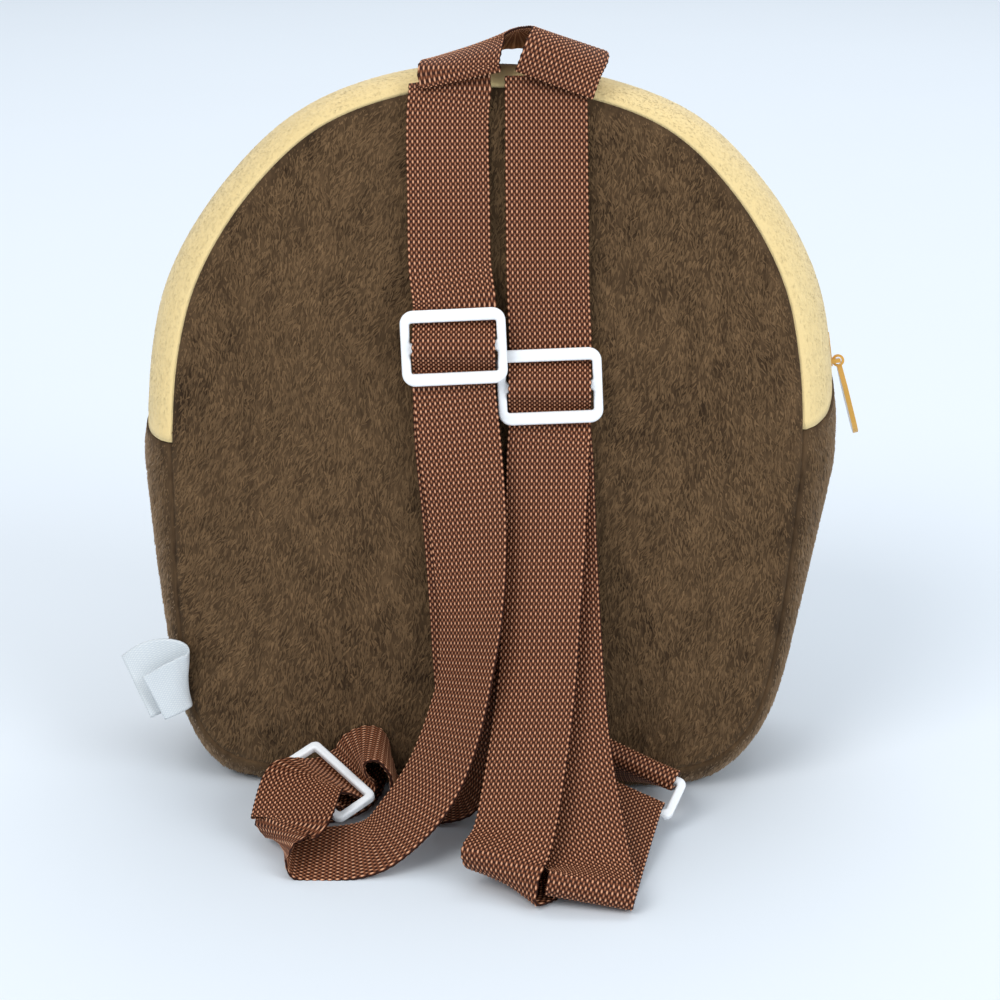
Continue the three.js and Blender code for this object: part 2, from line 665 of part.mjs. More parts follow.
// A station beside a ring, with the ribbon's right edge swung away from square by its skew
function ringStation(ring, { away, up, side = 0, skew = 0 }) {
  const at = ring.at.clone().addScaledVector(ring.away, away).addScaledVector(ring.up, up);
  at.addScaledVector(ring.across, side);
  const across = ring.across.clone().multiplyScalar(Math.cos(degToRad(skew)));
  return { at, across: across.addScaledVector(ring.away, -Math.sin(degToRad(skew))) };
}

// Stations round one bar of a ring, through the given angles from straight away
function roundBar(ring, bar, angles, radius = BAR_CLEAR, drift = 0) {
  return angles.map((angle) => {
    const turn = degToRad(angle);
    const away = bar + radius * Math.cos(turn);
    return ringStation(ring, { away, up: radius * Math.sin(turn), side: drift * turn });
  });
}

const floorTurn = (turn, angles) => roundBar(ringAxes(turn), 0, angles, turn.radius, turn.drift);

const glideSlots = ['low', 'high'].map((name) => {
  const near = GLIDE.centre / 2;
  const far = GLIDE.height / 2 - GLIDE.frame;
  const [low, high] = name === 'low' ? [-far, -near] : [near, far];
  return { low, high, side: GLIDE.side };
});
const ringSlots = [{ low: -RING_BAR + RING.frame / 2, high: RING_BAR - RING.frame / 2, side: RING.frame }];

// Webbing over the middle bar of an adjuster and under its two outer bars
const GLIDE_WAVE = [
  { down: -12.5, out: -2.4 },
  { down: -9.5, out: -2.5 },
  { down: -6.8, out: -2.3 },
  { down: -4.6, out: -0.3 },
  { down: -2, out: 2.1 },
  { down: 2, out: 2.1 },
  { down: 4.6, out: -0.3 },
  { down: 6.8, out: -2.3 },
  { down: 9.5, out: -2.5 },
  { down: 12.5, out: -2.4 },
];
const GLIDE_END = [
  { down: 12.5, out: -4.4 },
  { down: 7, out: -4.4 },
  { down: 2.4, out: -2.9 },
  { down: -1, out: -2.5 },
];
const glideStations = (glide, wave) => wave.map(({ down, out }) => {
  return station({ x: glide.x, out: glide.out + out, z: glide.z - down, turn: 0, lift: 0 });
});

for (const side of ['left', 'right']) {
  const glide = GLIDES[side];
  const ring = ringAxes(RINGS[side]);
  const buckle = addMesh(`buckle_${side}`, WHITE_PLASTIC, frameGeometry(GLIDE, glideSlots));
  buckle.position.copy(station({ ...glide, turn: 0, lift: 0 }).at);
  buckle.rotation.set(Math.PI / 2 - LEAN, 0, 0);
  buckle.rotateZ(degToRad(glide.roll));

  const loop = addMesh(`ring_${side}`, WHITE_PLASTIC, frameGeometry(RING, ringSlots));
  loop.position.copy(ring.at);
  const upright = new THREE.Vector3().crossVectors(ring.across, ring.away);
  const basis = new THREE.Matrix4().makeBasis(ring.across, ring.away, upright);
  loop.quaternion.setFromRotationMatrix(basis);

  const inRing = (rows) => rows.map((row) => ringStation(ring, row));
  const strap = side === 'right'
    ? [
      ...STRAP_FRONTS.right.map(station),
      ...floorTurn(FLOOR_TURNS.rightFront, RIGHT_FRONT_ANGLES),
      ...RIGHT_UNDER.map(station),
      ...roundBar(ring, RING_BAR, RIGHT_STRAP_ANGLES),
      ...floorTurn(FLOOR_TURNS.rightRear, RIGHT_REAR_ANGLES),
      ...STRAP_RETURNS.right.map(station),
    ]
    : [
      ...STRAP_FRONTS.left.map(station),
      ...floorTurn(FLOOR_TURNS.left, LEFT_FLOOR_ANGLES),
      ...inRing(LEFT_THREAD),
      ...STRAP_RETURNS.left.map(station),
    ];
  addRibbon(`strap_${side}`, BROWN_WEBBING, [
    ...STRAP_TOPS[side].map(station),
    ...glideStations(glide, GLIDE_WAVE),
    ...strap,
    ...glideStations(glide, GLIDE_END),
  ], WEBBING, SEGMENT);

  const sewn = TAB_SEAMS[side];
  const sewnAt = (up, straight) => station({ ...sewn, z: sewn.z + up, out: sewn.out + straight });
  const grip = side === 'right'
    ? roundBar(ring, -RING_BAR, RIGHT_TAB_ANGLES)
    : [
      ...LEFT_TAB_OUT.map(station),
      ...inRing(LEFT_TAB_RISE),
      ...roundBar(ring, RING_BAR, LEFT_TAB_ANGLES),
      ...inRing(LEFT_TAB_FALL),
      ...LEFT_TAB_BACK.map(station),
    ];
  const tab = [
    sewnAt(sewn.spread, 0),
    sewnAt(sewn.spread, sewn.straight),
    ...grip,
    sewnAt(-sewn.spread, sewn.straight),
    sewnAt(-sewn.spread, 0),
  ];
  addRibbon(`tab_${side}`, BROWN_WEBBING, tab, WEBBING, SEGMENT / 2);
}

addRibbon('handle', BROWN_WEBBING, HANDLE_ROUTE.map(station), WEBBING, SEGMENT / 2);
addRibbon('label', SATIN, LABEL_ROUTE.map(station), LABEL, LABEL.segment);

export default bag;
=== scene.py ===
"""Looks of a small plush backpack that stands on its base with its straps towards the camera."""

import math

import bpy
import numpy as np
from mathutils import Matrix, Vector
from mathutils.bvhtree import BVHTree
from mathutils.kdtree import KDTree


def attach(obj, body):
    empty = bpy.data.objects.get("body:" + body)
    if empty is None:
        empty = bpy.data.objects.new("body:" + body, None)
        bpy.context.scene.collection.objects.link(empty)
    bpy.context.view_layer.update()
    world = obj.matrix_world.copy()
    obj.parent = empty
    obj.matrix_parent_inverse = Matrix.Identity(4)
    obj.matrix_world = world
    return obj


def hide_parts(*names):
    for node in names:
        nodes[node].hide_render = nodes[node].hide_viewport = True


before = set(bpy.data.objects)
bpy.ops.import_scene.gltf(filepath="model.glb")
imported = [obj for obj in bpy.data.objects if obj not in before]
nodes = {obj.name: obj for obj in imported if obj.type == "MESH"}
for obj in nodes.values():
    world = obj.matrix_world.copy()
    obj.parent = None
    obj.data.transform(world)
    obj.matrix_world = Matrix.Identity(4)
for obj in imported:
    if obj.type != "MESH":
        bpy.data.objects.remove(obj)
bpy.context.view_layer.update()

MM = 0.001

# Body of the bag, in millimetres
BAG_DEPTH = 70.0
LEAN = math.radians(12)
SEAM_RISE = 7.0
SEAM_DIP = 1.5
BACK_CROWN = 7.0
FRONT_CROWN = 15.0
CROWN_POWER = 2.6
PLUSH_WALL = 3.0
FLEECE_WALL = 2.4
EDGE_WALL = 1.2
SEW_GAP = 0.4
SEAM_SHUT = 0.02
SIDE_BULGE = 10.3
LOW_BULGE = 0.1
FULL_BULGE_HEIGHT = 100.0
TOP_BULGE = 7.4
BASE_BULGE = 10.0
BULGE_POWER = 0.6
THIN_EDGE = 0.125
PANEL_MIDDLE = 104.0

# The seam of panel and gusset: height, distance to the left, distance to the right
SEAM_ROWS = (
    (0, 0, 0),
    (0, 42, 38),
    (1, 68, 60),
    (6, 83.5, 74),
    (18, 91.5, 84),
    (47, 96, 91),
    (78, 97.5, 95),
    (102, 98, 97),
    (127, 96, 95.5),
    (149, 90, 90.5),
    (173, 75.5, 77),
    (194, 53.5, 55.5),
    (204.5, 27, 27.5),
    (207, 0, 0),
)
JOIN = {"left": (100, 8), "right": (105.5, 24)}
ZIP_SLOT = 7.0
ZIP_TAPE = {"width": 16.0, "thick": 0.8}
ZIP_START = 2.0
SLIDER_LENGTH = 11.0

# Webbing and its moulded fittings
WEBBING_WIDTH = 25.0
BAR_CLEAR = 2.9
GLIDE = {
    "width": 31.8, "height": 22.8, "side": 2.8, "frame": 3.8, "centre": 3.0,
    "thick": 2.4, "corner": 4.0, "soft": 0.7,
}
RING = {"width": 32.0, "height": 15.0, "frame": 2.6, "thick": 2.6, "corner": 2.4, "soft": 0.8}
RING_BAR = (RING["height"] - RING["frame"]) / 2
GLIDES = {
    "left": {"x": -9.8, "out": 17.6, "z": 141.0, "roll": 3.0},
    "right": {"x": 19.1, "out": 12.8, "z": 128.4, "roll": 2.7},
}
RINGS = {
    "left": {"at": (-48, -52, 11.4), "turn": 48, "lift": -14, "pitch": 20},
    "right": {"at": (44.6, -53, 13.4), "turn": 16, "lift": -18, "pitch": 32},
}

# Routes of the webbing: x, distance in front of the leaning back plane, z, turn and lift of the right edge
STRAP_TOPS = {
    "left": (
        (-12.3, 1.3, 216.6, 0, 4),
        (-12, 1.8, 214.5, 0, 0),
        (-12.6, 3.4, 205, 0, 0),
        (-12, 7.8, 182, 0, 0),
        (-11.4, 10.2, 163, 0, 0),
    ),
    "right": (
        (17.1, 0.9, 217.6, 0, 0),
        (17.2, 1.8, 214, 0, 0),
        (17.4, 3.6, 204, 0, 0),
        (17.8, 7.8, 181, 0, 0),
        (18.4, 10, 155, 0, 0),
    ),
}
LEFT_FRONT = (
    (-8, 16.6, 113, 2, 0),
    (-4.9, 19.4, 84, 24, 0),
    (-4, 24, 62, 43, 0),
    (-6, 29, 44.5, 53, 0),
    (-13.2, 38, 23.5, 51, -2),
)
LEFT_RETURN = (
    (-4, 13, 26, 32, 0),
    (-4.2, 13, 48, 14, 0),
    (-6.4, 13.4, 84, 4, 0),
    (-9.4, 13.2, 114, 0, 0),
)
RIGHT_FRONT = (
    (18.6, 13, 108, 6, 0),
    (18.1, 20, 84, 18, 0),
    (17.2, 26, 67.6, 22, 0),
    (16, 34, 47, 26, 0),
    (12.8, 49, 26.4, 20, 6),
)
RIGHT_RETURN = (
    (25.6, 39, 31, 10, 2),
    (23.8, 29.4, 47.5, 12, 2),
    (21.6, 16.6, 78, 10, 0),
    (20, 9.6, 106, 2, 0),
)
HANDLE_ROUTE = (
    (-8.6, 4.2, 216.4, 0, 6),
    (-9.3, 4.3, 219.6, 2, 4),
    (-8.6, 0.6, 222.6, 10, 8),
    (-5.8, -9.2, 224.6, 30, 18),
    (0.2, -15.1, 225.6, 60, 20),
    (8.3, -17.3, 226.4, 90, 20),
    (16.5, -15.1, 226.8, 120, 20),
    (22.4, -9.2, 227, 150, 20),
    (24.6, -1.5, 227, 162, 18),
    (22.4, 5, 223, 172, 13),
    (19.6, 5, 215.2, 180, 10),
)
# The same near the floor, with y in place of the distance from the back plane
LEFT_FRONT_LOW = ((-21.5, -76.5, 12.5, 58, -8), (-32, -82, 4.6, 74, -11))
LEFT_RETURN_LOW = (
    (-40.4, -45.4, 13.5, 56, -8),
    (-39.8, -45.4, 17, 68, -6),
    (-37, -45.2, 20.4, 82, -2),
    (-32.8, -45.2, 20.6, 86, 0),
    (-30, -45.4, 17, 85, 0),
    (-28.6, -45.8, 11, 85, 0),
    (-27, -46.2, 5, 86, 0),
    (-22.6, -46.5, 1.8, 86, 0),
    (-14.5, -46.8, 1.6, 84, 0),
    (-7.6, -47, 4.4, 76, 0),
    (-5, -46.6, 12, 56, 0),
)
RIGHT_FRONT_LOW = ((10.2, -92.5, 15.8, 22, 4),)
RIGHT_UNDER = ((24, -81, 1.9, 30, -3),)
RIGHT_RETURN_LOW = ((31.2, -99, 8.8, 4, 2), (28.6, -84, 17, 6, 3))
LEFT_TAB_OUT = ((-44.5, -42, 7.7, 14, -4), (-46.6, -47.6, 7.8, 30, -9))
LEFT_TAB_BACK = ((-46.6, -47.4, 4.1, 30, -6), (-44.5, -42, 4.3, 14, -2))
# Round turns at the floor, as bars that the webbing passes round and drifts along
LEFT_LOOP = {"at": (-55.6, -81, 6.6), "turn": 62, "lift": -10, "pitch": 0, "radius": 3.6, "drift": -1.9}
RIGHT_FRONT_LOOP = {"at": (9, -101.5, 8.4), "turn": 30, "lift": -13, "pitch": 0, "radius": 4.4, "drift": -1.4}
RIGHT_REAR_LOOP = {"at": (32.2, -110, 6.1), "turn": 5, "lift": -9, "pitch": 0, "radius": 3.4, "drift": 0}
LEFT_LOOP_ANGLES = (-90, -45, 0, 45, 90)
RIGHT_FRONT_ANGLES = (45, 0, -45, -90)
RIGHT_REAR_ANGLES = (-90, -45, 0, 45, 80)
RIGHT_STRAP_ANGLES = (-90, -135, 180, 135, 90)
LEFT_TAB_ANGLES = (180, 135, 90, 45, 0, -45, -90)
RIGHT_TAB_ANGLES = (165, 122, 80, 35, -15)
# Webbing in a ring: away from the bag, up, sideways, skew of the right edge
LEFT_THREAD = (
    (RING_BAR, 7, 0, 16),
    (1.5, 3.8, 0, 10),
    (-2.2, -0.4, 0, 6),
    (-5, -2.8, 0, 3),
    (-7.5, -3.1, 0, 0),
)
LEFT_TAB_RISE = ((2.9, -2.4, 0, 0),)
LEFT_TAB_FALL = ((2.8, -5.9, 0, 7),)
TAB_SEAMS = {
    "left": {"x": -43.7, "out": 0.6, "z": 6, "turn": 3, "spread": 1.5, "straight": 1.5},
    "right": {"x": 47.5, "out": 1.6, "z": 7, "turn": 6, "spread": 1.2, "straight": 1},
}
# Webbing over the middle bar of an adjuster: distance down, distance out
GLIDE_WAVE = (
    (-12.5, -2.4),
    (-9.5, -2.5),
    (-6.8, -2.3),
    (-4.6, -0.3),
    (-2, 2.1),
    (2, 2.1),
    (4.6, -0.3),
    (6.8, -2.3),
    (9.5, -2.5),
    (12.5, -2.4),
)
GLIDE_END = ((12.5, -4.4), (7, -4.4), (2.4, -2.9), (-1, -2.5))
# Blank label: x, distance out, z, turn, lift, width
LABEL_THICK = 0.5
LABEL_ROUTE = (
    (-109.6, 1.6, 32.6, -128, 52, 22),
    (-103.2, 0.6, 35.6, -116, 70, 23),
    (-97.8, 0.6, 36.6, -100, 84, 22),
    (-94.2, 1.8, 36.4, -95, 87, 20),
    (-93, 3.7, 36, -95, 87, 18),
    (-94.4, 5.5, 35.4, -98, 86, 17),
    (-98.6, 6.8, 33.4, -106, 82, 16),
    (-103.2, 6.6, 31, -112, 79, 15),
)


# Fineness of the curves
SEAM_STEPS = 4000
MARKS_PER_SPAN = 60
MARK_STEP = 1e-4
SAME_PLACE = 1e-4
TINY = 1e-9


def unit(rows):
    """Rows of vectors at length one."""
    return rows / np.maximum(np.linalg.norm(rows, axis=-1, keepdims=True), TINY)


def smooth_curve(knots, shares, closed=False):
    """Points of a centripetal curve through knots, at shares of the whole."""
    knots = np.asarray(knots, float)
    if closed:
        padded = np.vstack([knots[-1:], knots, knots[:2]])
    else:
        padded = np.vstack([2 * knots[:1] - knots[1:2], knots, 2 * knots[-1:] - knots[-2:-1]])
    spans = len(padded) - 3
    at = np.clip(shares, 0, 1) * spans
    low = np.minimum(at.astype(int), spans - 1)
    part = (at - low)[:, None]
    before, start, end, after = (padded[low + k] for k in range(4))

    def gap(a, b, instead):
        root = np.linalg.norm(b - a, axis=1, keepdims=True) ** 0.5
        return np.where(root < SAME_PLACE, instead, root)

    here = gap(start, end, 1.0)
    prior = gap(before, start, here)
    later = gap(end, after, here)
    leave = ((start - before) / prior - (end - before) / (prior + here) + (end - start) / here) * here
    arrive = ((end - start) / here - (after - start) / (here + later) + (after - end) / later) * here
    square = -3 * start + 3 * end - 2 * leave - arrive
    cube = 2 * start - 2 * end + leave + arrive
    return start + part * (leave + part * (square + part * cube))


def run_of(line):
    """Distance along a line of points."""
    return np.concatenate([[0], np.cumsum(np.linalg.norm(np.diff(line, axis=0), axis=1))])


# The seam as a closed curve
seam_table = np.array(SEAM_ROWS, float)
seam_right = np.stack([seam_table[:, 2], SEAM_RISE + seam_table[:, 0]], 1)
seam_left = np.stack([-seam_table[1:-1, 1], SEAM_RISE + seam_table[1:-1, 0]], 1)[::-1]
seam_knots = np.vstack([seam_right, seam_left])
seam_marks = np.linspace(0, 1, SEAM_STEPS + 1)
seam_line = smooth_curve(seam_knots, seam_marks, closed=True)
seam_run = run_of(seam_line)
seam_length = seam_run[-1]
seam_height = SEAM_RISE + SEAM_ROWS[-1][0]
FRONT_SCALE = 1 - BAG_DEPTH * math.tan(LEAN) / seam_height


def seam_at(share):
    """x, height and outward direction of the seam at shares of its length."""
    shape = np.shape(share)
    mark = np.interp((np.ravel(share) % 1) * seam_length, seam_run, seam_marks)
    at = smooth_curve(seam_knots, mark, closed=True)
    ahead = smooth_curve(seam_knots, (mark + MARK_STEP) % 1, closed=True)
    behind = smooth_curve(seam_knots, (mark - MARK_STEP) % 1, closed=True)
    along = unit(ahead - behind)
    return [row.reshape(shape) for row in (at[:, 0], at[:, 1], along[:, 1], -along[:, 0])]


def back_plane(z):
    """y of the leaning plane of the back seam."""
    return z * math.tan(LEAN) - BAG_DEPTH / 2


def placed(x, depth, height):
    """A point of the leaning bag from its place in the upright pattern."""
    z = height * (1 + (FRONT_SCALE - 1) * depth / BAG_DEPTH)
    return np.stack([x, back_plane(z) + depth, z], -1)


def blend(a, b, share):
    """A value part of the way between two."""
    return a + (b - a) * share


SIDE_ROW = 4


def seam_share(side, height):
    """Share of the seam's length where one side reaches a height."""
    share = seam_run / seam_length
    half = (share < 0.5) if side == "right" else (share > 0.5)
    keep = half & (seam_line[:, 1] > SEAM_RISE + SEAM_ROWS[SIDE_ROW][0])
    order = np.argsort(seam_line[keep, 1])
    return np.interp(height, seam_line[keep, 1][order], share[keep][order])


def join_share(side, across):
    """Where fleece meets plush on one side, by depth."""
    height, rise = JOIN[side]
    return seam_share(side, SEAM_RISE + height + rise * across)


# Slow swells of the cloth: share, pitch along x, y and z, start
SWELLS = (
    (1.0, 31, math.inf, 47, 0.6),
    (1.0, 19, 23, -28, 2.1),
    (0.7, 41, 17, 13, 4.0),
)
SWELL_SUM = sum(row[0] for row in SWELLS)
PLUSH_SWELL = 0.9
FLEECE_SWELL = 0.7
SWELL_POWER = 4


def softness(points, reach):
    """A slow uneven swell over the cloth, in millimetres."""
    x, y, z = points[..., 0], points[..., 1], points[..., 2]
    total = 0
    for share, wide, deep, high, start in SWELLS:
        total = total + share * np.sin(x / wide + y / deep + z / high + start)
    return reach * total / SWELL_SUM


def panel_grid(seam_depth, outward, crown, inset, cells):
    """A crowned panel as a square grid of points, folded round to its seam."""
    line = np.linspace(-1, 1, cells + 1)
    a, b = np.meshgrid(line, line, indexing="ij")
    wide = np.abs(a) >= np.abs(b)
    rho = np.where(wide, np.abs(a), np.abs(b))
    safe_a = np.where(np.abs(a) < TINY, TINY, a)
    safe_b = np.where(np.abs(b) < TINY, TINY, b)
    angle = np.where(wide, np.pi / 4 * b / safe_a, np.pi / 2 - np.pi / 4 * a / safe_b)
    angle = np.where(np.where(wide, a, b) < 0, angle + np.pi, angle)
    x, height, _, _ = seam_at(angle / (2 * np.pi))
    swell = (crown + SEAM_DIP) * (1 - rho**CROWN_POWER) - SEAM_DIP - inset
    flat = placed(x * rho, seam_depth + 0 * rho, blend(PANEL_MIDDLE, height, rho))
    uneven = softness(flat, PLUSH_SWELL) * (1 - rho**SWELL_POWER)
    return placed(x * rho, seam_depth + outward * (swell + uneven), blend(PANEL_MIDDLE, height, rho))


def gusset_points(share, across, offset, lowest):
    """Points of the gusset, offset outward from the seam."""
    x, height, out_x, out_height = seam_at(share)
    end = np.where(out_height > 0, TOP_BULGE, BASE_BULGE)
    side = SIDE_BULGE * blend(LOW_BULGE, 1, np.minimum(1, height / FULL_BULGE_HEIGHT))
    swell = blend(side, end, out_height**2) * np.sin(np.pi * np.clip(across, 0, 1)) ** BULGE_POWER
    away = SEAM_SHUT + swell + offset
    depth = blend(SEAM_DIP, BAG_DEPTH - SEAM_DIP, across)
    return placed(x + out_x * away, depth, np.maximum(height + out_height * away, lowest))


def gusset_grids(first, last, steps, start, end, rows, wall, sink=0.0, edge=EDGE_WALL, uneven=0.0):
    """Outer and inner points of a length of gusset."""
    across = np.linspace(start, end, rows)
    part = np.linspace(0, 1, steps + 1)[:, None]
    share = blend(first(across)[None, :], last(across)[None, :], part)
    across = np.broadcast_to(across[None, :], share.shape)
    thin = np.minimum(1, np.minimum(across, 1 - across) / THIN_EDGE)
    thick = blend(edge, wall, thin)
    outer = gusset_points(share, across, thick - sink, 0.0)
    swell = softness(outer, uneven) * thin
    outer = gusset_points(share, across, thick - sink + np.minimum(swell, 0), 0.0)
    return outer, gusset_points(share, across, -sink + np.minimum(swell, 0), thick)


def grid_faces(rows, columns, start=0):
    """Faces of a grid of points."""
    index = start + np.arange(rows * columns).reshape(rows, columns)
    return np.stack([index[:-1, :-1], index[:-1, 1:], index[1:, 1:], index[1:, :-1]], -1).reshape(-1, 4)


def shell_faces(rows, columns):
    """Faces of a closed sheet: a grid, a second grid behind it and the rim."""
    size = rows * columns
    index = np.arange(size).reshape(rows, columns)
    border = np.concatenate([index[0, :-1], index[:-1, -1], index[-1, :0:-1], index[:0:-1, 0]])
    after = np.roll(border, -1)
    rim = np.stack([after, border, border + size, after + size], 1)
    return np.vstack([grid_faces(rows, columns), grid_faces(rows, columns, size)[:, ::-1], rim])


def add_piece(name, points, faces, material, replaced=()):
    """A mesh piece from points in millimetres, with its faces turned out."""
    points = np.asarray(points, float).reshape(-1, 3)
    faces = np.asarray(faces, np.int32)
    first, second, third = (points[faces[:, k]] for k in range(3))
    volume = (first * np.cross(second, third)).sum()
    if faces.shape[1] == 4:
        volume += (first * np.cross(third, points[faces[:, 3]])).sum()
    if volume < 0:
        faces = faces[:, ::-1]
    mesh = bpy.data.meshes.new(name)
    mesh.vertices.add(len(points))
    mesh.loops.add(faces.size)
    mesh.polygons.add(len(faces))
    mesh.vertices.foreach_set("co", (points * MM).astype(np.float32).ravel())
    mesh.polygons.foreach_set("loop_start", np.arange(0, faces.size, faces.shape[1], dtype=np.int32))
    mesh.polygons.foreach_set("vertices", np.ascontiguousarray(faces).ravel())
    mesh.update(calc_edges=True)
    mesh.validate()
    mesh.shade_smooth()
    return dress(bpy.data.objects.new(name, mesh), material, replaced)


def dress(piece, material, replaced=()):
    """Puts a piece in the scene with its material, on its body, in place of its solids."""
    bpy.context.scene.collection.objects.link(piece)
    piece.data.materials.clear()
    piece.data.materials.append(material)
    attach(piece, "bag")
    if replaced:
        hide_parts(*replaced)
    return piece


def set_values(piece, name, values):
    """A value for each point of a piece, for its material."""
    attribute = piece.data.attributes.new(name, "FLOAT", "POINT")
    attribute.data.foreach_set("value", np.asarray(values, np.float32).ravel())


def set_map(piece, name, points):
    """A map for each point of a piece, in millimetres along the cloth."""
    mesh = piece.data
    corner = np.zeros(len(mesh.loops), np.int32)
    mesh.loops.foreach_get("vertex_index", corner)
    layer = mesh.uv_layers.new(name=name)
    layer.data.foreach_set("uv", np.asarray(points, np.float32)[corner].ravel())


# Nodes
def feed(tree, socket, value):
    """Links an output to a socket, or sets the socket's own value."""
    if isinstance(value, bpy.types.NodeSocket):
        tree.links.new(value, socket)
    else:
        socket.default_value = value


def add_node(tree, kind, inputs=None, **settings):
    """A node with its settings, and its inputs set or linked."""
    node = tree.nodes.new(kind)
    for key, value in settings.items():
        setattr(node, key, value)
    for key, value in (inputs or {}).items():
        feed(tree, node.inputs[key], value)
    return node


def calc(tree, operation, *values):
    """The output of a maths node."""
    return add_node(tree, "ShaderNodeMath", dict(enumerate(values)), operation=operation).outputs[0]


MIX_INPUTS = (0, 6, 7)
MIX_COLOUR_OUT = 2


def mix_colour(tree, share, a, b, kind="MIX"):
    """Two colours mixed by a share."""
    node = add_node(tree, "ShaderNodeMix", data_type="RGBA", blend_type=kind)
    for socket, value in zip(MIX_INPUTS, (share, a, b)):
        feed(tree, node.inputs[socket], value)
    return node.outputs[MIX_COLOUR_OUT]


def ramp(tree, value, low, high):
    """A value eased from nothing at a low level to one at a high level."""
    inputs = {"Value": value, "From Min": low, "From Max": high}
    return add_node(tree, "ShaderNodeMapRange", inputs, interpolation_type="SMOOTHSTEP").outputs[0]


def colour(red, green, blue):
    """A screen colour of 0 to 255 as linear light."""
    rows = (v / 255 for v in (red, green, blue))
    return tuple(v / 12.92 if v <= 0.04045 else ((v + 0.055) / 1.055) ** 2.4 for v in rows) + (1.0,)


def new_group(name, inputs, outputs):
    """A shader node group with named sockets."""
    tree = bpy.data.node_groups.new(name, "ShaderNodeTree")
    for label, kind, value in inputs:
        socket = tree.interface.new_socket(label, in_out="INPUT", socket_type=kind)
        socket.default_value = value
    for label, kind in outputs:
        tree.interface.new_socket(label, in_out="OUTPUT", socket_type=kind)
    return tree, tree.nodes.new("NodeGroupInput").outputs, tree.nodes.new("NodeGroupOutput")


def finish_group(tree, outlet, **links):
    """Links the results of a group to its outputs."""
    for label, socket in links.items():
        tree.links.new(socket, outlet.inputs[label])
    return tree


# Uneven tone of pile: amount, squash along the lay, scale, detail
PILE_NOISES = (
    ("Streak", 0.28, 900.0, 3.0),
    ("Clump", 0.55, 170.0, 2.0),
    ("Patch", 1.0, 26.0, 3.0),
)


def pile_group():
    """Colour of short pile: streaks along the lay, clumps, and slow patches where it is brushed up."""
    inputs = (
        ("Dark", "NodeSocketColor", colour(60, 45, 29)),
        ("Light", "NodeSocketColor", colour(122, 99, 69)),
        ("Lift", "NodeSocketFloat", 0.5),
        ("Streak", "NodeSocketFloat", 0.4),
        ("Clump", "NodeSocketFloat", 0.4),
        ("Patch", "NodeSocketFloat", 0.3),
    )
    outputs = (("Color", "NodeSocketColor"), ("Height", "NodeSocketFloat"))
    tree, inlet, outlet = new_group("Pile", inputs, outputs)
    place = add_node(tree, "ShaderNodeTexCoord").outputs["Object"]
    share = inlet["Lift"]
    noises = {}
    for amount, stretch, scale, detail in PILE_NOISES:
        laid = add_node(tree, "ShaderNodeMapping", {"Vector": place, "Scale": (1.0, 1.0, stretch)}).outputs[0]
        inputs = {"Vector": laid, "Scale": scale, "Detail": detail}
        noises[amount] = add_node(tree, "ShaderNodeTexNoise", inputs).outputs[0]
        share = calc(tree, "MULTIPLY_ADD", calc(tree, "SUBTRACT", noises[amount], 0.5), inlet[amount], share)
    held = add_node(tree, "ShaderNodeClamp", {"Value": share}).outputs[0]
    tone = mix_colour(tree, held, inlet["Dark"], inlet["Light"])
    return finish_group(tree, outlet, Color=tone, Height=noises["Streak"])


# How far every other end lies lower, and the heights where painted shade in the low gaps gives way to the
# middle colour, and where the painted highlight on the crests begins
ODD_SUNK = 0.3
GAP_SHADE_LEVELS = (0.0, 0.4)
CREST_HIGHLIGHT_LEVELS = (0.45, 0.85)


def weave_group():
    """Colour and relief of woven yarn, from a map in millimetres: ends across, rows along; the low gaps are
    painted with shade and the crests with highlights.
    """
    inputs = (
        # The dark colour is painted shade for the gaps; the light colour is a painted highlight for the
        # crests
        ("Dark", "NodeSocketColor", colour(70, 34, 20)),
        ("Middle", "NodeSocketColor", colour(132, 78, 52)),
        ("Bright", "NodeSocketColor", colour(205, 150, 118)),
        ("End", "NodeSocketFloat", 0.76),
        ("Row", "NodeSocketFloat", 2.035),
    )
    outputs = (("Color", "NodeSocketColor"), ("Height", "NodeSocketFloat"))
    tree, inlet, outlet = new_group("Weave", inputs, outputs)
    lay = add_node(tree, "ShaderNodeUVMap", uv_map="Lay").outputs[0]
    split = add_node(tree, "ShaderNodeSeparateXYZ", {0: lay}).outputs
    end = calc(tree, "DIVIDE", split["X"], inlet["End"])
    number = calc(tree, "FLOOR", end)
    across = calc(tree, "MULTIPLY_ADD", calc(tree, "FRACT", end), 2.0, -1.0)
    hump = calc(tree, "SUBTRACT", 1.0, calc(tree, "MULTIPLY", across, across))
    odd = calc(tree, "FLOORED_MODULO", number, 2.0)
    phase = calc(tree, "MULTIPLY_ADD", odd, 0.5, calc(tree, "DIVIDE", split["Y"], inlet["Row"]))
    turn = calc(tree, "COSINE", calc(tree, "MULTIPLY", phase, 2 * math.pi))
    float_share = calc(tree, "MULTIPLY_ADD", turn, 0.5, 0.5)
    sunk = calc(tree, "MULTIPLY_ADD", odd, -ODD_SUNK, 1.0)
    height = calc(tree, "MULTIPLY", calc(tree, "MULTIPLY", hump, float_share), sunk)
    # painted shade: the lowest places of the weave get the dark colour
    body = mix_colour(tree, ramp(tree, height, *GAP_SHADE_LEVELS), inlet["Dark"], inlet["Middle"])
    # painted highlight: the crests of the yarn get the light colour
    tone = mix_colour(tree, ramp(tree, height, *CREST_HIGHLIGHT_LEVELS), body, inlet["Bright"])
    return finish_group(tree, outlet, Color=tone, Height=height)


HANDLING_DETAIL = 4.0


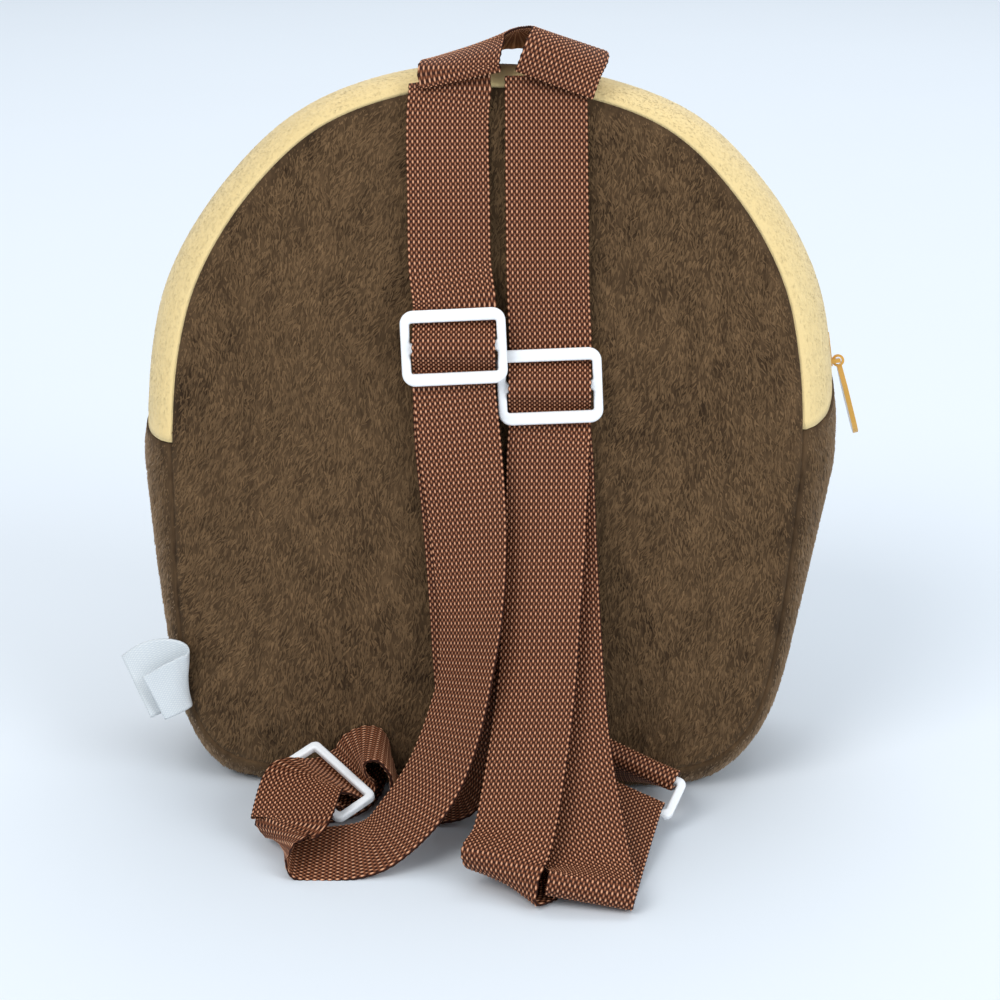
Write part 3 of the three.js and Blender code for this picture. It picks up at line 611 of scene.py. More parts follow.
def wear_group():
    """Slow changes of a colour from handling."""
    inputs = (
        ("Color", "NodeSocketColor", (0.5, 0.5, 0.5, 1.0)),
        ("Amount", "NodeSocketFloat", 0.15),
        ("Scale", "NodeSocketFloat", 40.0),
    )
    outputs = (("Color", "NodeSocketColor"), ("Mask", "NodeSocketFloat"))
    tree, inlet, outlet = new_group("Handling", inputs, outputs)
    place = add_node(tree, "ShaderNodeTexCoord").outputs["Object"]
    inputs = {"Vector": place, "Scale": inlet["Scale"], "Detail": HANDLING_DETAIL}
    cloud = add_node(tree, "ShaderNodeTexNoise", inputs).outputs[0]
    share = calc(tree, "MULTIPLY_ADD", calc(tree, "SUBTRACT", cloud, 0.5), inlet["Amount"], 1.0)
    shade = add_node(tree, "ShaderNodeCombineColor", {0: share, 1: share, 2: share}).outputs[0]
    tone = mix_colour(tree, 1.0, inlet["Color"], shade, "MULTIPLY")
    return finish_group(tree, outlet, Color=tone, Mask=cloud)


PILE = pile_group()
WEAVE = weave_group()
HANDLING = wear_group()


def use_group(tree, group, **values):
    """A group placed in a material with its own values."""
    node = add_node(tree, "ShaderNodeGroup", node_tree=group)
    for label, value in values.items():
        feed(tree, node.inputs[label], value)
    return node.outputs


def new_finish(name, **constants):
    """A material with a shader whose plain values are set on its own sockets."""
    material = bpy.data.materials.new(name)
    material.use_nodes = True
    shader = material.node_tree.nodes["Principled BSDF"]
    for label, value in constants.items():
        shader.inputs[label.replace("_", " ")].default_value = value
    return material, material.node_tree, shader


def bumped(tree, shader, height, strength, distance):
    """Gives a shader relief from a height."""
    bump = add_node(tree, "ShaderNodeBump", {"Height": height, "Strength": strength, "Distance": distance})
    tree.links.new(bump.outputs[0], shader.inputs["Normal"])


# Relief of a finish: bump strength, and depth in metres
PILE_BUMP = (0.5, 0.0006)
WEAVE_BUMP = 0.6
GRAIN_BUMP = 0.2
PILE_ROUGH = 0.92
PILE_SHINE = 0.12
SHEEN_ROUGH = 0.45
CLOTH_WEAR_SCALE = 55.0


def pile_finish(name, shades, lift, streak, clump, patch, sheen, tone_and_root_shade):
    """Plush or fleece: its cloth, or its standing pile where each tuft has a random tone and painted shade
    that darkens it from its tip down to its root.
    """
    dark, light, tint = shades
    material, tree, shader = new_finish(
        name, Roughness=PILE_ROUGH, Specular_IOR_Level=PILE_SHINE,
        Sheen_Weight=sheen, Sheen_Roughness=SHEEN_ROUGH, Sheen_Tint=tint,
    )
    level = lift
    # painted shade: each tuft darkens from its tip to its root, along with its random tone
    if tone_and_root_shade:
        tone = add_node(tree, "ShaderNodeAttribute", attribute_name="tone").outputs["Fac"]
        tip = add_node(tree, "ShaderNodeAttribute", attribute_name="tip").outputs["Fac"]
        root = calc(tree, "MULTIPLY_ADD", tone, tone_and_root_shade, lift - tone_and_root_shade)
        level = calc(tree, "MULTIPLY_ADD", tip, tone_and_root_shade, root)
    made = use_group(tree, PILE, Dark=dark, Light=light, Lift=level, Streak=streak, Clump=clump, Patch=patch)
    tree.links.new(made["Color"], shader.inputs["Base Color"])
    if not tone_and_root_shade:
        bumped(tree, shader, made["Height"], *PILE_BUMP)
    return material


def woven_finish(name, dark, middle, highlight, end, row, relief, rough, wear, shine):
    """Woven tape or ribbon, its colour with painted shade in the gaps and painted highlights on the crests.
    """
    material, tree, shader = new_finish(name, Roughness=rough, Specular_IOR_Level=shine)
    made = use_group(tree, WEAVE, Dark=dark, Middle=middle, Bright=highlight, End=end, Row=row)
    worn = use_group(tree, HANDLING, Color=made["Color"], Amount=wear, Scale=CLOTH_WEAR_SCALE)
    tree.links.new(worn["Color"], shader.inputs["Base Color"])
    bumped(tree, shader, made["Height"], WEAVE_BUMP, relief)
    return material


def plain_finish(name, base, wear, scale, grain, rough, coat):
    """Moulded plastic, enamel or paper."""
    material, tree, shader = new_finish(name, Roughness=rough, Coat_Weight=coat)
    worn = use_group(tree, HANDLING, Color=base, Amount=wear, Scale=scale)
    tree.links.new(worn["Color"], shader.inputs["Base Color"])
    bumped(tree, shader, worn["Mask"], GRAIN_BUMP, grain)
    return material


# Shades of cloth: dark, light, sheen
BROWN = (colour(50, 36, 23), colour(136, 107, 76), colour(178, 156, 132))
TAN = (colour(230, 200, 138), colour(242, 219, 164), colour(255, 244, 220))
# Pile: shades, lift, streak, clump, patch, sheen, and the spread of random tuft tone together with painted
# shade at the tuft roots
plush_cloth = pile_finish("plush_backing", BROWN, 0.2, 0.4, 0.6, 0.4, 0.4, 0.0)
plush_pile = pile_finish("plush_pile", BROWN, 0.5, 0.4, 0.5, 0.22, 0.8, 0.34)
fleece_cloth = pile_finish("fleece_backing", TAN, 0.5, 0.2, 0.3, 0.3, 0.3, 0.0)
fleece_pile = pile_finish("fleece_pile", TAN, 0.55, 0.15, 0.3, 0.3, 0.5, 0.1)
# Weave: dark colour as painted shade in the gaps, middle, light colour as painted highlight on the crests,
# end and row in millimetres, relief in metres, roughness, wear, shine
webbing = woven_finish(
    "webbing", colour(46, 20, 11), colour(130, 77, 50), colour(224, 167, 131),
    0.7576, 2.035, 0.0003, 0.6, 0.2, 0.15,
)
# painted shade in the gaps and painted highlights on the crests, as for the webbing
satin = woven_finish(
    "label_satin", colour(204, 211, 216), colour(214, 220, 223), colour(228, 232, 232),
    0.4, 1.2, 0.00004, 0.38, 0.1, 0.5,
)
tape_cloth = woven_finish(
    "zip_cloth", colour(190, 150, 84), colour(216, 180, 112), colour(236, 204, 140),
    0.6, 1.6, 0.0001, 0.8, 0.2, 0.5,
)
# Plain: colour, wear, scale of the wear, grain in metres, roughness, coat
plastic = plain_finish("white_plastic", colour(248, 250, 252), 0.03, 60.0, 0.00003, 0.32, 0.0)
coil_plastic = plain_finish("zip_coil", colour(222, 184, 118), 0.1, 200.0, 0.00002, 0.4, 0.0)
enamel = plain_finish("zip_enamel", colour(226, 172, 74), 0.15, 90.0, 0.00003, 0.3, 0.4)


# Webbing routes
def edge_direction(turn, lift):
    """Direction of a right edge, turned from the x axis and lifted."""
    level = math.cos(math.radians(lift))
    turned = math.radians(turn)
    return np.array([math.cos(turned) * level, -math.sin(turned) * level, math.sin(math.radians(lift))])


def stations(rows):
    """Places and right-edge directions from rows measured off the back plane."""
    return floor_stations([(x, back_plane(z) - out, z, turn, lift) for x, out, z, turn, lift in rows])


def floor_stations(rows):
    """Places and right-edge directions from rows with plain places."""
    return [(np.array([x, y, z], float), edge_direction(turn, lift)) for x, y, z, turn, lift in rows]


def bar_axes(bar):
    """Middle of a ring or bar, its long direction, the direction away from the bag, and up."""
    across = edge_direction(bar["turn"], bar["lift"])
    level = unit(-np.cross(across, (0, 0, 1)))
    square = unit(np.cross(level, across))
    raised = -square if square[2] < 0 else square
    pitch = math.radians(bar["pitch"])
    away = -level * math.cos(pitch)
    if away[1] > 0:
        away = -away
    away = unit(away - raised * math.sin(pitch))
    up = unit(np.cross(across, away))
    return np.array(bar["at"], float), across, away, (-up if up[2] < 0 else up)


def ring_stations(axes, rows):
    """Stations in a ring, from rows of away, up, side and skew."""
    at, across, away, up = axes
    made = []
    for far, high, side, skew in rows:
        turned = math.radians(skew)
        edge = across * math.cos(turned) - away * math.sin(turned)
        made.append((at + away * far + up * high + across * side, edge))
    return made


def round_bar(axes, bar, angles, radius=BAR_CLEAR, drift=0.0):
    """Stations round a bar, by angle from straight away."""
    turns = [math.radians(angle) for angle in angles]
    rows = [(bar + radius * math.cos(t), radius * math.sin(t), drift * t, 0) for t in turns]
    return ring_stations(axes, rows)


def floor_loop(loop, angles):
    """Stations round a turn of the webbing at the floor."""
    return round_bar(bar_axes(loop), 0, angles, loop["radius"], loop["drift"])


def glide_stations(glide, rows):
    """Stations through an adjuster."""
    return stations([(glide["x"], glide["out"] + out, glide["z"] - down, 0, 0) for down, out in rows])


def strap_route(side):
    """A strap from its sewn top, through its adjuster and ring, and back to the adjuster."""
    glide = GLIDES[side]
    ring = bar_axes(RINGS[side])
    if side == "left":
        lower = [
            *stations(LEFT_FRONT),
            *floor_stations(LEFT_FRONT_LOW),
            *floor_loop(LEFT_LOOP, LEFT_LOOP_ANGLES),
            *ring_stations(ring, LEFT_THREAD),
            *floor_stations(LEFT_RETURN_LOW),
            *stations(LEFT_RETURN),
        ]
    else:
        lower = [
            *stations(RIGHT_FRONT),
            *floor_stations(RIGHT_FRONT_LOW),
            *floor_loop(RIGHT_FRONT_LOOP, RIGHT_FRONT_ANGLES),
            *floor_stations(RIGHT_UNDER),
            *round_bar(ring, RING_BAR, RIGHT_STRAP_ANGLES),
            *floor_loop(RIGHT_REAR_LOOP, RIGHT_REAR_ANGLES),
            *floor_stations(RIGHT_RETURN_LOW),
            *stations(RIGHT_RETURN),
        ]
    wave = glide_stations(glide, GLIDE_WAVE)
    return [*stations(STRAP_TOPS[side]), *wave, *lower, *glide_stations(glide, GLIDE_END)]


def tab_route(side):
    """A tab from the bottom seam, round its ring and back."""
    sewn = TAB_SEAMS[side]
    ring = bar_axes(RINGS[side])
    if side == "left":
        grip = [
            *floor_stations(LEFT_TAB_OUT),
            *ring_stations(ring, LEFT_TAB_RISE),
            *round_bar(ring, RING_BAR, LEFT_TAB_ANGLES),
            *ring_stations(ring, LEFT_TAB_FALL),
            *floor_stations(LEFT_TAB_BACK),
        ]
    else:
        grip = round_bar(ring, -RING_BAR, RIGHT_TAB_ANGLES)
    high, low = sewn["z"] + sewn["spread"], sewn["z"] - sewn["spread"]
    near, far = sewn["out"], sewn["out"] + sewn["straight"]
    top = stations([(sewn["x"], near, high, sewn["turn"], 0), (sewn["x"], far, high, sewn["turn"], 0)])
    bottom = stations([(sewn["x"], far, low, sewn["turn"], 0), (sewn["x"], near, low, sewn["turn"], 0)])
    return [*top, *grip, *bottom]


def ribbon_frame(route, spacing):
    """Centre line, right edge, up and distance along a ribbon, at an even spacing."""
    places = [at for at, _ in route]
    edges = [edge for _, edge in route]
    marks = np.linspace(0, 1, MARKS_PER_SPAN * (len(route) - 1) + 1)
    run = run_of(smooth_curve(places, marks))
    along_run = np.linspace(0, run[-1], round(run[-1] / spacing) + 1)
    mark = np.interp(along_run, run, marks)
    centre = smooth_curve(places, mark)
    along = unit(smooth_curve(places, mark + MARK_STEP) - smooth_curve(places, mark - MARK_STEP))
    edge = smooth_curve(edges, mark)
    width = np.linalg.norm(edge, axis=1)
    edge = unit(edge - along * (edge * along).sum(1, keepdims=True))
    return centre, edge, np.cross(edge, along), along_run, width


ENDS = 33
ROW = 2.035
STEPS_PER_ROW = 2
YARN_BASE = 0.4
YARN_RISE = 0.25
GROOVE = 0.22
SELVEDGE = 0.3
SCALLOP = 0.14


def add_webbing(name, route, replaced):
    """A woven strap: every warp end rises and dips in turn, on both faces."""
    centre, edge, up, run, _ = ribbon_frame(route, ROW / STEPS_PER_ROW)
    columns = np.arange(2 * ENDS + 1)
    across = (columns / (2 * ENDS) - 0.5) * WEBBING_WIDTH
    middle = columns % 2 == 1
    number = np.minimum(columns // 2, ENDS - 1)
    woven = np.arange(len(run)) * ROW / STEPS_PER_ROW
    faces = []
    maps = []
    for turned, side in ((0.0, 1.0), (0.5, -1.0)):
        phase = woven[:, None] / ROW + 0.5 * (number[None, :] % 2) + turned
        rise = np.where(middle, 0.5 + 0.5 * np.cos(2 * np.pi * phase), GROOVE)
        high = YARN_BASE + YARN_RISE * rise
        high[:, [0, -1]] = SELVEDGE
        shift = np.zeros_like(high)
        wave = SCALLOP * np.cos(2 * np.pi * woven / ROW)
        shift[:, 0] = wave
        shift[:, -1] = -wave
        offset = (across[None, :] + shift)[..., None] * edge[:, None, :]
        faces.append(centre[:, None, :] + offset + side * high[..., None] * up[:, None, :])
        along = np.broadcast_to(woven[:, None] + turned * ROW, high.shape)
        maps.append(np.stack([np.broadcast_to(across + WEBBING_WIDTH / 2, high.shape), along], -1))
    rows = len(run)
    points = np.concatenate([face.reshape(-1, 3) for face in faces])
    piece = add_piece(name, points, shell_faces(rows, len(columns)), webbing, replaced)
    set_map(piece, "Lay", np.concatenate([m.reshape(-1, 2) for m in maps]))
    return piece, run[-1]


straps = {}
lengths = {}
for side in ("left", "right"):
    for kind, route in (("strap", strap_route(side)), ("tab", tab_route(side))):
        node = f"{kind}_{side}"
        straps[node], lengths[node] = add_webbing(f"{node}_webbing", route, [node])
straps["handle"], lengths["handle"] = add_webbing("handle_webbing", stations(HANDLE_ROUTE), ["handle"])


LABEL_STEP = 0.8
LABEL_COLUMNS = 25
LABEL_HALF = 12
# A ripple over the label: height, pitch along it, skew and fade across it
RIPPLE = {"height": 0.25, "pitch": 3.1, "skew": 5, "fade": 2.2}


def add_label():
    """A blank satin strip, doubled at the seam, with a slight ripple."""
    rows = [(x, out, z, turn, lift) for x, out, z, turn, lift, _ in LABEL_ROUTE]
    wide = [row[-1] for row in LABEL_ROUTE]
    route = [(at, edge * width) for (at, edge), width in zip(stations(rows), wide)]
    centre, edge, up, run, width = ribbon_frame(route, LABEL_STEP)
    columns = np.linspace(-0.5, 0.5, LABEL_COLUMNS)[None, :]
    across = columns * width[:, None]
    ripple = RIPPLE["height"] * np.sin(run[:, None] / RIPPLE["pitch"] + RIPPLE["skew"] * columns)
    ripple = ripple * np.cos(RIPPLE["fade"] * columns)
    faces = []
    middle = centre[:, None, :] + across[..., None] * edge[:, None, :]
    for side in (1.0, -1.0):
        lift = side * LABEL_THICK / 2 + ripple
        faces.append(middle + lift[..., None] * up[:, None, :])
    points = np.concatenate([face.reshape(-1, 3) for face in faces])
    shell = shell_faces(len(run), LABEL_COLUMNS)
    piece = add_piece("label_ribbon", points, shell, satin, ["label"])
    lay = np.stack([across + LABEL_HALF, np.broadcast_to(run[:, None], across.shape)], -1).reshape(-1, 2)
    set_map(piece, "Lay", np.concatenate([lay, lay]))


add_label()


# Moulded fittings
CORNER_STEPS = 8
EDGE_STEPS = 4
WELD_REACH = 0.00001
SHARP_EDGE = math.radians(50)


def rounded_outline(left, right, low, high, corner):
    """A rectangle with round corners, as points."""
    points = []
    centres = ((right, high, 0), (left, high, 90), (left, low, 180), (right, low, 270))
    for x, y, start in centres:
        inside_x = x - math.copysign(corner, x - (left + right) / 2)
        inside_y = y - math.copysign(corner, y - (low + high) / 2)
        for step in range(CORNER_STEPS + 1):
            angle = math.radians(start + step * 90 / CORNER_STEPS)
            points.append((inside_x + corner * math.cos(angle), inside_y + corner * math.sin(angle)))
    return points


def outer_outline(sizes):
    """The outer edge of an adjuster or a ring."""
    wide, tall = sizes["width"] / 2, sizes["height"] / 2
    return rounded_outline(-wide, wide, -tall, tall, sizes["corner"])


def add_moulding(name, outlines, sizes, matrix, replaced):
    """A moulded frame with soft edges, cut from its outlines."""
    thick, rounding = sizes["thick"], sizes["soft"]
    curve = bpy.data.curves.new(name, "CURVE")
    curve.dimensions = "2D"
    curve.fill_mode = "BOTH"
    curve.extrude = (thick / 2 - rounding) * MM
    curve.bevel_depth = rounding * MM
    curve.bevel_resolution = EDGE_STEPS
    curve.offset = -rounding * MM
    for outline in outlines:
        spline = curve.splines.new("POLY")
        spline.points.add(len(outline) - 1)
        rows = [(x * MM, y * MM, 0.0, 1.0) for x, y in outline]
        spline.points.foreach_set("co", np.array(rows, np.float32).ravel())
        spline.use_cyclic_u = True
    pattern = bpy.data.objects.new(name + "_pattern", curve)
    mesh = bpy.data.meshes.new_from_object(pattern)
    bpy.data.objects.remove(pattern)
    mesh.transform(matrix)
    piece = bpy.data.objects.new(name, mesh)
    dress(piece, plastic, replaced)
    weld = piece.modifiers.new("weld", "WELD")
    weld.merge_threshold = WELD_REACH
    mesh.shade_smooth()
    mesh.set_sharp_from_angle(angle=SHARP_EDGE)


def glide_matrix(glide):
    """Place and lean of an adjuster."""
    at = Vector((glide["x"], back_plane(glide["z"]) - glide["out"], glide["z"])) * MM
    lean = Matrix.Rotation(math.pi / 2 - LEAN, 4, "X")
    return Matrix.Translation(at) @ lean @ Matrix.Rotation(math.radians(glide["roll"]), 4, "Z")


def ring_matrix(ring):
    """Place and turn of a ring."""
    at, across, away, _ = bar_axes(ring)
    upright = np.cross(across, away)
    turn = Matrix([[across[k], away[k], upright[k]] for k in range(3)]).to_4x4()
    return Matrix.Translation(Vector(at) * MM) @ turn


SLOT_CORNER = 0.7
glide_side = GLIDE["width"] / 2 - GLIDE["side"]
glide_far = GLIDE["height"] / 2 - GLIDE["frame"]
glide_near = GLIDE["centre"] / 2
glide_outlines = [
    outer_outline(GLIDE),
    rounded_outline(-glide_side, glide_side, glide_near, glide_far, SLOT_CORNER),
    rounded_outline(-glide_side, glide_side, -glide_far, -glide_near, SLOT_CORNER),
]
ring_side = RING["width"] / 2 - RING["frame"]
ring_far = RING["height"] / 2 - RING["frame"]
ring_outlines = [
    outer_outline(RING),
    rounded_outline(-ring_side, ring_side, -ring_far, ring_far, SLOT_CORNER),
]
for side in ("left", "right"):
    add_moulding(f"adjuster_{side}", glide_outlines, GLIDE, glide_matrix(GLIDES[side]), [f"buckle_{side}"])
    add_moulding(f"loop_{side}", ring_outlines, RING, ring_matrix(RINGS[side]), [f"ring_{side}"])


# Cloth of the bag
PANEL_CELLS = 76
BASE_STEPS = 150
BASE_ROWS = 33
TOP_STEPS = 130
TOP_ROWS = 17
TAPE_ROWS = 9
gap_share = SEW_GAP / seam_length


def add_shell(name, outer, inner, material, slot, replaced):
    """A closed wall of cloth from its outer and inner points."""
    points = np.concatenate([outer.reshape(-1, 3), inner.reshape(-1, 3)])
    return add_piece(name, points, shell_faces(*outer.shape[:2]), material, replaced)


panel_grids = {
    "back": [panel_grid(0.0, -1, BACK_CROWN, inset, PANEL_CELLS) for inset in (0.0, PLUSH_WALL)],
    "front": [panel_grid(BAG_DEPTH, 1, FRONT_CROWN, inset, PANEL_CELLS) for inset in (0.0, PLUSH_WALL)],
}


def right_join(across):
    """Start of the fleece, at the right end of the zip."""
    return join_share("right", across)


def left_join(across):
    """End of the fleece, at the left end of the zip."""
    return join_share("left", across)


def base_start(across):
    return left_join(across) + gap_share


def base_end(across):
    return 1 + right_join(across) - gap_share


def top_grids(start, end):
    """One half of the fleece, between the seam and the zip."""
    joins = (right_join, left_join)
    return gusset_grids(*joins, TOP_STEPS, start, end, TOP_ROWS, FLEECE_WALL, uneven=FLEECE_SWELL)


slot_share = ZIP_SLOT / BAG_DEPTH / 2
base_ends = (base_start, base_end)
base_grids = gusset_grids(*base_ends, BASE_STEPS, 0.0, 1.0, BASE_ROWS, PLUSH_WALL, uneven=PLUSH_SWELL)
top_back_grids = top_grids(0.0, 0.5 - slot_share)
top_front_grids = top_grids(0.5 + slot_share, 1.0)
# Cloth of each node: points, material, slot
CLOTHS = {
    "back": ("back_plush", panel_grids["back"], plush_cloth, "plush_brown", "back_panel"),
    "front": ("front_plush", panel_grids["front"], plush_cloth, "plush_brown", "front_panel"),
    "base": ("base_plush", base_grids, plush_cloth, "plush_brown", "gusset_base"),
    "top_back": ("top_back_fleece", top_back_grids, fleece_cloth, "fleece_tan", "gusset_top_back"),
    "top_front": ("top_front_fleece", top_front_grids, fleece_cloth, "fleece_tan", "gusset_top_front"),
}
for key, (name, grids, finish, slot, node) in CLOTHS.items():
    add_shell(name, *grids, finish, slot, [node])


# Pile
def near_tree(names):
    """A search tree over solids that the pile keeps clear of."""
    points = []
    faces = []
    for name in names:
        start = len(points)
        mesh = nodes[name].data
        points.extend(v.co.copy() for v in mesh.vertices)
        faces.extend([start + k for k in p.vertices] for p in mesh.polygons)
    return BVHTree.FromPolygons(points, faces)


FITTINGS = ("strap_left", "strap_right", "tab_left", "tab_right", "handle", "label")
FITTING_CLEAR = 0.0004
fitting_tree = near_tree(FITTINGS)


def clear_of_fittings(roots, tips):
    """Which tufts neither cross nor touch a strap, a tab, the handle or the label."""
    keep = np.ones(len(roots), bool)
    for k, (root, tip) in enumerate(zip(roots * MM, tips * MM)):
        start, end = Vector(root), Vector(tip)
        way = end - start
        hit = fitting_tree.ray_cast(start, way.normalized(), way.length)[0]
        near = fitting_tree.find_nearest(end, FITTING_CLEAR)[0]
        keep[k] = hit is None and near is None
    return keep


def scatter(grid, count, random):
    """Points spread evenly over a grid, with the normals there."""
    rows, columns = grid.shape[:2]
    normal = unit(np.cross(np.gradient(grid, axis=0), np.gradient(grid, axis=1))).reshape(-1, 3)
    point = grid.reshape(-1, 3)
    quads = grid_faces(rows, columns)
    triangles = np.vstack([quads[:, [0, 1, 2]], quads[:, [0, 2, 3]]])
    a, b, c = (point[triangles[:, k]] for k in range(3))
    area = np.linalg.norm(np.cross(b - a, c - a), axis=1)
    pick = random.choice(len(triangles), count, p=area / area.sum())
    u, v = random.random((2, count, 1))
    over = u + v > 1
    u, v = np.where(over, 1 - u, u), np.where(over, 1 - v, v)
    corner = triangles[pick]
    mixed = []
    for values in (point, normal):
        first, second, third = (values[corner[:, k]] for k in range(3))
        mixed.append(first * (1 - u - v) + second * u + third * v)
    return mixed[0], unit(mixed[1])


BORDER_PARTS = (0.0, 1 / 3, 2 / 3)


def border_distance(grid, points):
    """How far points are from the edges of the cloth that they stand on."""
    edges = (grid[0], grid[-1], grid[:, 0], grid[:, -1])
    border = np.concatenate([blend(line[:-1], line[1:], part) for line in edges for part in BORDER_PARTS])
    tree = KDTree(len(border))
    for k, place in enumerate(border):
        tree.insert(place, k)
    tree.balance()
    return np.array([tree.find(place)[2] for place in points])


BAG_MIDDLE = np.array([0.0, 20.0, 100.0])
LAY = np.array([-0.18, 0.0, -1.0])
FLOOR_CLEAR = 0.3
PILE_LOWEST = 2.0
SHORTEST = 0.4
SEAM_BARE = 0.5
SWIRL_PITCH = 1.3
RUFFLE_PITCH = 9.0
UNDERSIDE = -0.85
CREST_AT = 0.3
# Corners of a tuft: two at its root, its crest, its tip
TUFT_FACES = ((0, 2, 3), (2, 1, 3), (1, 0, 3), (0, 1, 2))
TUFT_TIPS = (0.0, 0.0, 0.6, 1.0)


def add_pile(name, grid, count, tuft, seed, material):
    """Short tufts that lie along the cloth, each a closed sliver with a crest and a tip."""
    random = np.random.default_rng(seed)
    point, normal = scatter(grid, count, random)
    if ((point - BAG_MIDDLE) * normal).sum(1).mean() < 0:
        normal = -normal
    shown = (point[:, 2] > PILE_LOWEST) & (normal[:, 2] > UNDERSIDE)
    point, normal = point[shown], normal[shown]
    size = len(point)
    along = unit(LAY - normal * (normal @ LAY)[:, None])
    side = np.cross(normal, along)
    angle = random.normal(0, tuft["spread"], size) + tuft["swirl"] * softness(point * SWIRL_PITCH, 1.0)
    angle += tuft["ruffle"] * softness(point * RUFFLE_PITCH, 1.0)
    along = along * np.cos(angle)[:, None] + side * np.sin(angle)[:, None]
    side = np.cross(normal, along)
    long = random.uniform(*tuft["length"], size)[:, None]
    wide = random.uniform(*tuft["width"], size)[:, None]
    crest = random.uniform(*tuft["crest"], size)[:, None]
    high = random.uniform(*tuft["tip"], size)[:, None]
    near = border_distance(grid, point)
    short = np.clip(near / tuft["seam"], SHORTEST, 1.0)[:, None]
    long, crest, high = long * short, crest * short, high * short
    sunk = point - normal * tuft["sink"]
    tip = point + along * long + normal * high
    tip[:, 2] = np.maximum(tip[:, 2], FLOOR_CLEAR)
    keep = clear_of_fittings(point, tip) & (near > SEAM_BARE)
    top = point + normal * crest + along * long * CREST_AT
    corners = [sunk - side * wide / 2, sunk + side * wide / 2, top, tip]
    corners = np.stack([row[keep] for row in corners], 1)
    start = len(TUFT_TIPS) * np.arange(len(corners))[:, None, None]
    faces = start + np.array(TUFT_FACES)[None]
    piece = add_piece(name, corners.reshape(-1, 3), faces.reshape(-1, 3), material)
    facing = unit(normal[keep] + tuft["tilt"] * random.normal(0, 1, (len(corners), 3)))
    bent = unit(facing + tuft["bend"] * along[keep])
    shading = np.stack([facing, facing, facing, bent], 1).reshape(-1, 3)
    piece.data.normals_split_custom_set_from_vertices(shading.tolist())
    tone = random.random(len(corners))
    set_values(piece, "tone", np.repeat(tone, len(TUFT_TIPS)))
    # the tip value runs from nothing at the root to one at the tip, for the painted shade at the tuft roots
    set_values(piece, "tip", np.tile(TUFT_TIPS, len(corners)))
    return piece


PLUSH_TUFT = {
    "length": (2.0, 3.6), "width": (0.6, 1.1), "crest": (0.15, 0.35), "tip": (0.2, 0.7),
    "spread": 0.3, "swirl": 0.35, "ruffle": 0.35, "sink": 0.3, "tilt": 0.18, "bend": 0.45,
    "seam": 3.0,
}
FLEECE_TUFT = {
    "length": (0.9, 1.7), "width": (0.7, 1.2), "crest": (0.06, 0.14), "tip": (0.05, 0.2),
    "spread": 0.9, "swirl": 0.6, "ruffle": 0.3, "sink": 0.1, "tilt": 0.06, "bend": 0.08,
    "seam": 2.0,
}
# Pile of each cloth: where it stands, tufts, seed
PILES = {
    "back": (panel_grids["back"][0], 46000, 11),
    "front": (panel_grids["front"][0], 34000, 12),
    "base": (base_grids[0], 36000, 13),
    "top_back": (top_back_grids[0][1:-1], 15000, 14),
    "top_front": (top_front_grids[0][1:-1], 15000, 15),
}
for key, (grid, count, seed) in PILES.items():
    tuft, finish, slot = PLUSH_TUFT, plush_pile, "plush_brown"
    if key.startswith("top"):
        tuft, finish, slot = FLEECE_TUFT, fleece_pile, "fleece_tan"
    add_pile(f"{key}_pile", grid, count, tuft, seed, finish)


# Zip
middle_right = float(join_share("right", 0.5))
middle_left = float(join_share("left", 0.5))
slider_share = middle_right + (ZIP_START + SLIDER_LENGTH / 2) / seam_length


def tape_start(across):
    return np.full(np.shape(across), middle_right)


def tape_end(across):
    return np.full(np.shape(across), middle_left)


tape_half = ZIP_TAPE["width"] / BAG_DEPTH / 2
tape_thick = ZIP_TAPE["thick"]
tape_grids = gusset_grids(
    tape_start, tape_end, TOP_STEPS, 0.5 - tape_half, 0.5 + tape_half, TAPE_ROWS,
    tape_thick, tape_thick + SEW_GAP, tape_thick,
)
tape = add_shell("zip_tape_cloth", *tape_grids, tape_cloth, "zip_cloth", ["zip_tape"])
tape_run = np.linspace(0, (middle_left - middle_right) * seam_length, TOP_STEPS + 1)
tape_across = np.linspace(0, ZIP_TAPE["width"], TAPE_ROWS)
tape_map = np.stack(np.meshgrid(tape_run, tape_across, indexing="ij")[::-1], -1).reshape(-1, 2)
set_map(tape, "Lay", np.concatenate([tape_map, tape_map]))


BAR_SIDES = 6


def add_bars(name, middles, axes, ups, profile, material, slot, replaced):
    """Many small rounded bars, such as zip teeth, from rows of place, radius and rise."""
    sides = BAR_SIDES
    profile = np.array(profile, float)
    other = np.cross(axes, ups)
    turn = np.arange(sides) * 2 * np.pi / sides
    ring = np.cos(turn)[None, :, None] * ups[:, None, :] + np.sin(turn)[None, :, None] * other[:, None, :]
    points = []
    for along, radius, rise in profile:
        points.append((middles + axes * along + ups * rise)[:, None, :] + ring * radius)
    points = np.stack(points, 1)
    size = len(profile) * sides
    faces = []
    for low in range(0, size - sides, sides):
        high = low + sides
        for k in range(sides):
            after = (k + 1) % sides
            faces.append((low + k, low + after, high + after, high + k))
    last = size - sides
    faces += [(3, 2, 1, 0), (5, 4, 3, 0)]
    faces += [(last, last + 1, last + 2, last + 3), (last, last + 3, last + 4, last + 5)]
    every = (np.arange(len(middles)) * size)[:, None, None] + np.array(faces)[None]
    add_piece(name, points.reshape(-1, 3), every.reshape(-1, 4), material, replaced)


TOOTH_PITCH = 1.35
TOOTH_RISE = 1.0
DEPTH_STEP = 0.02
TOOTH = ((-2.1, 0.22, -0.25), (-1.7, 0.5, 0.0), (-0.4, 0.52, 0.1), (0.7, 0.55, 0.05), (1.0, 0.3, -0.1))


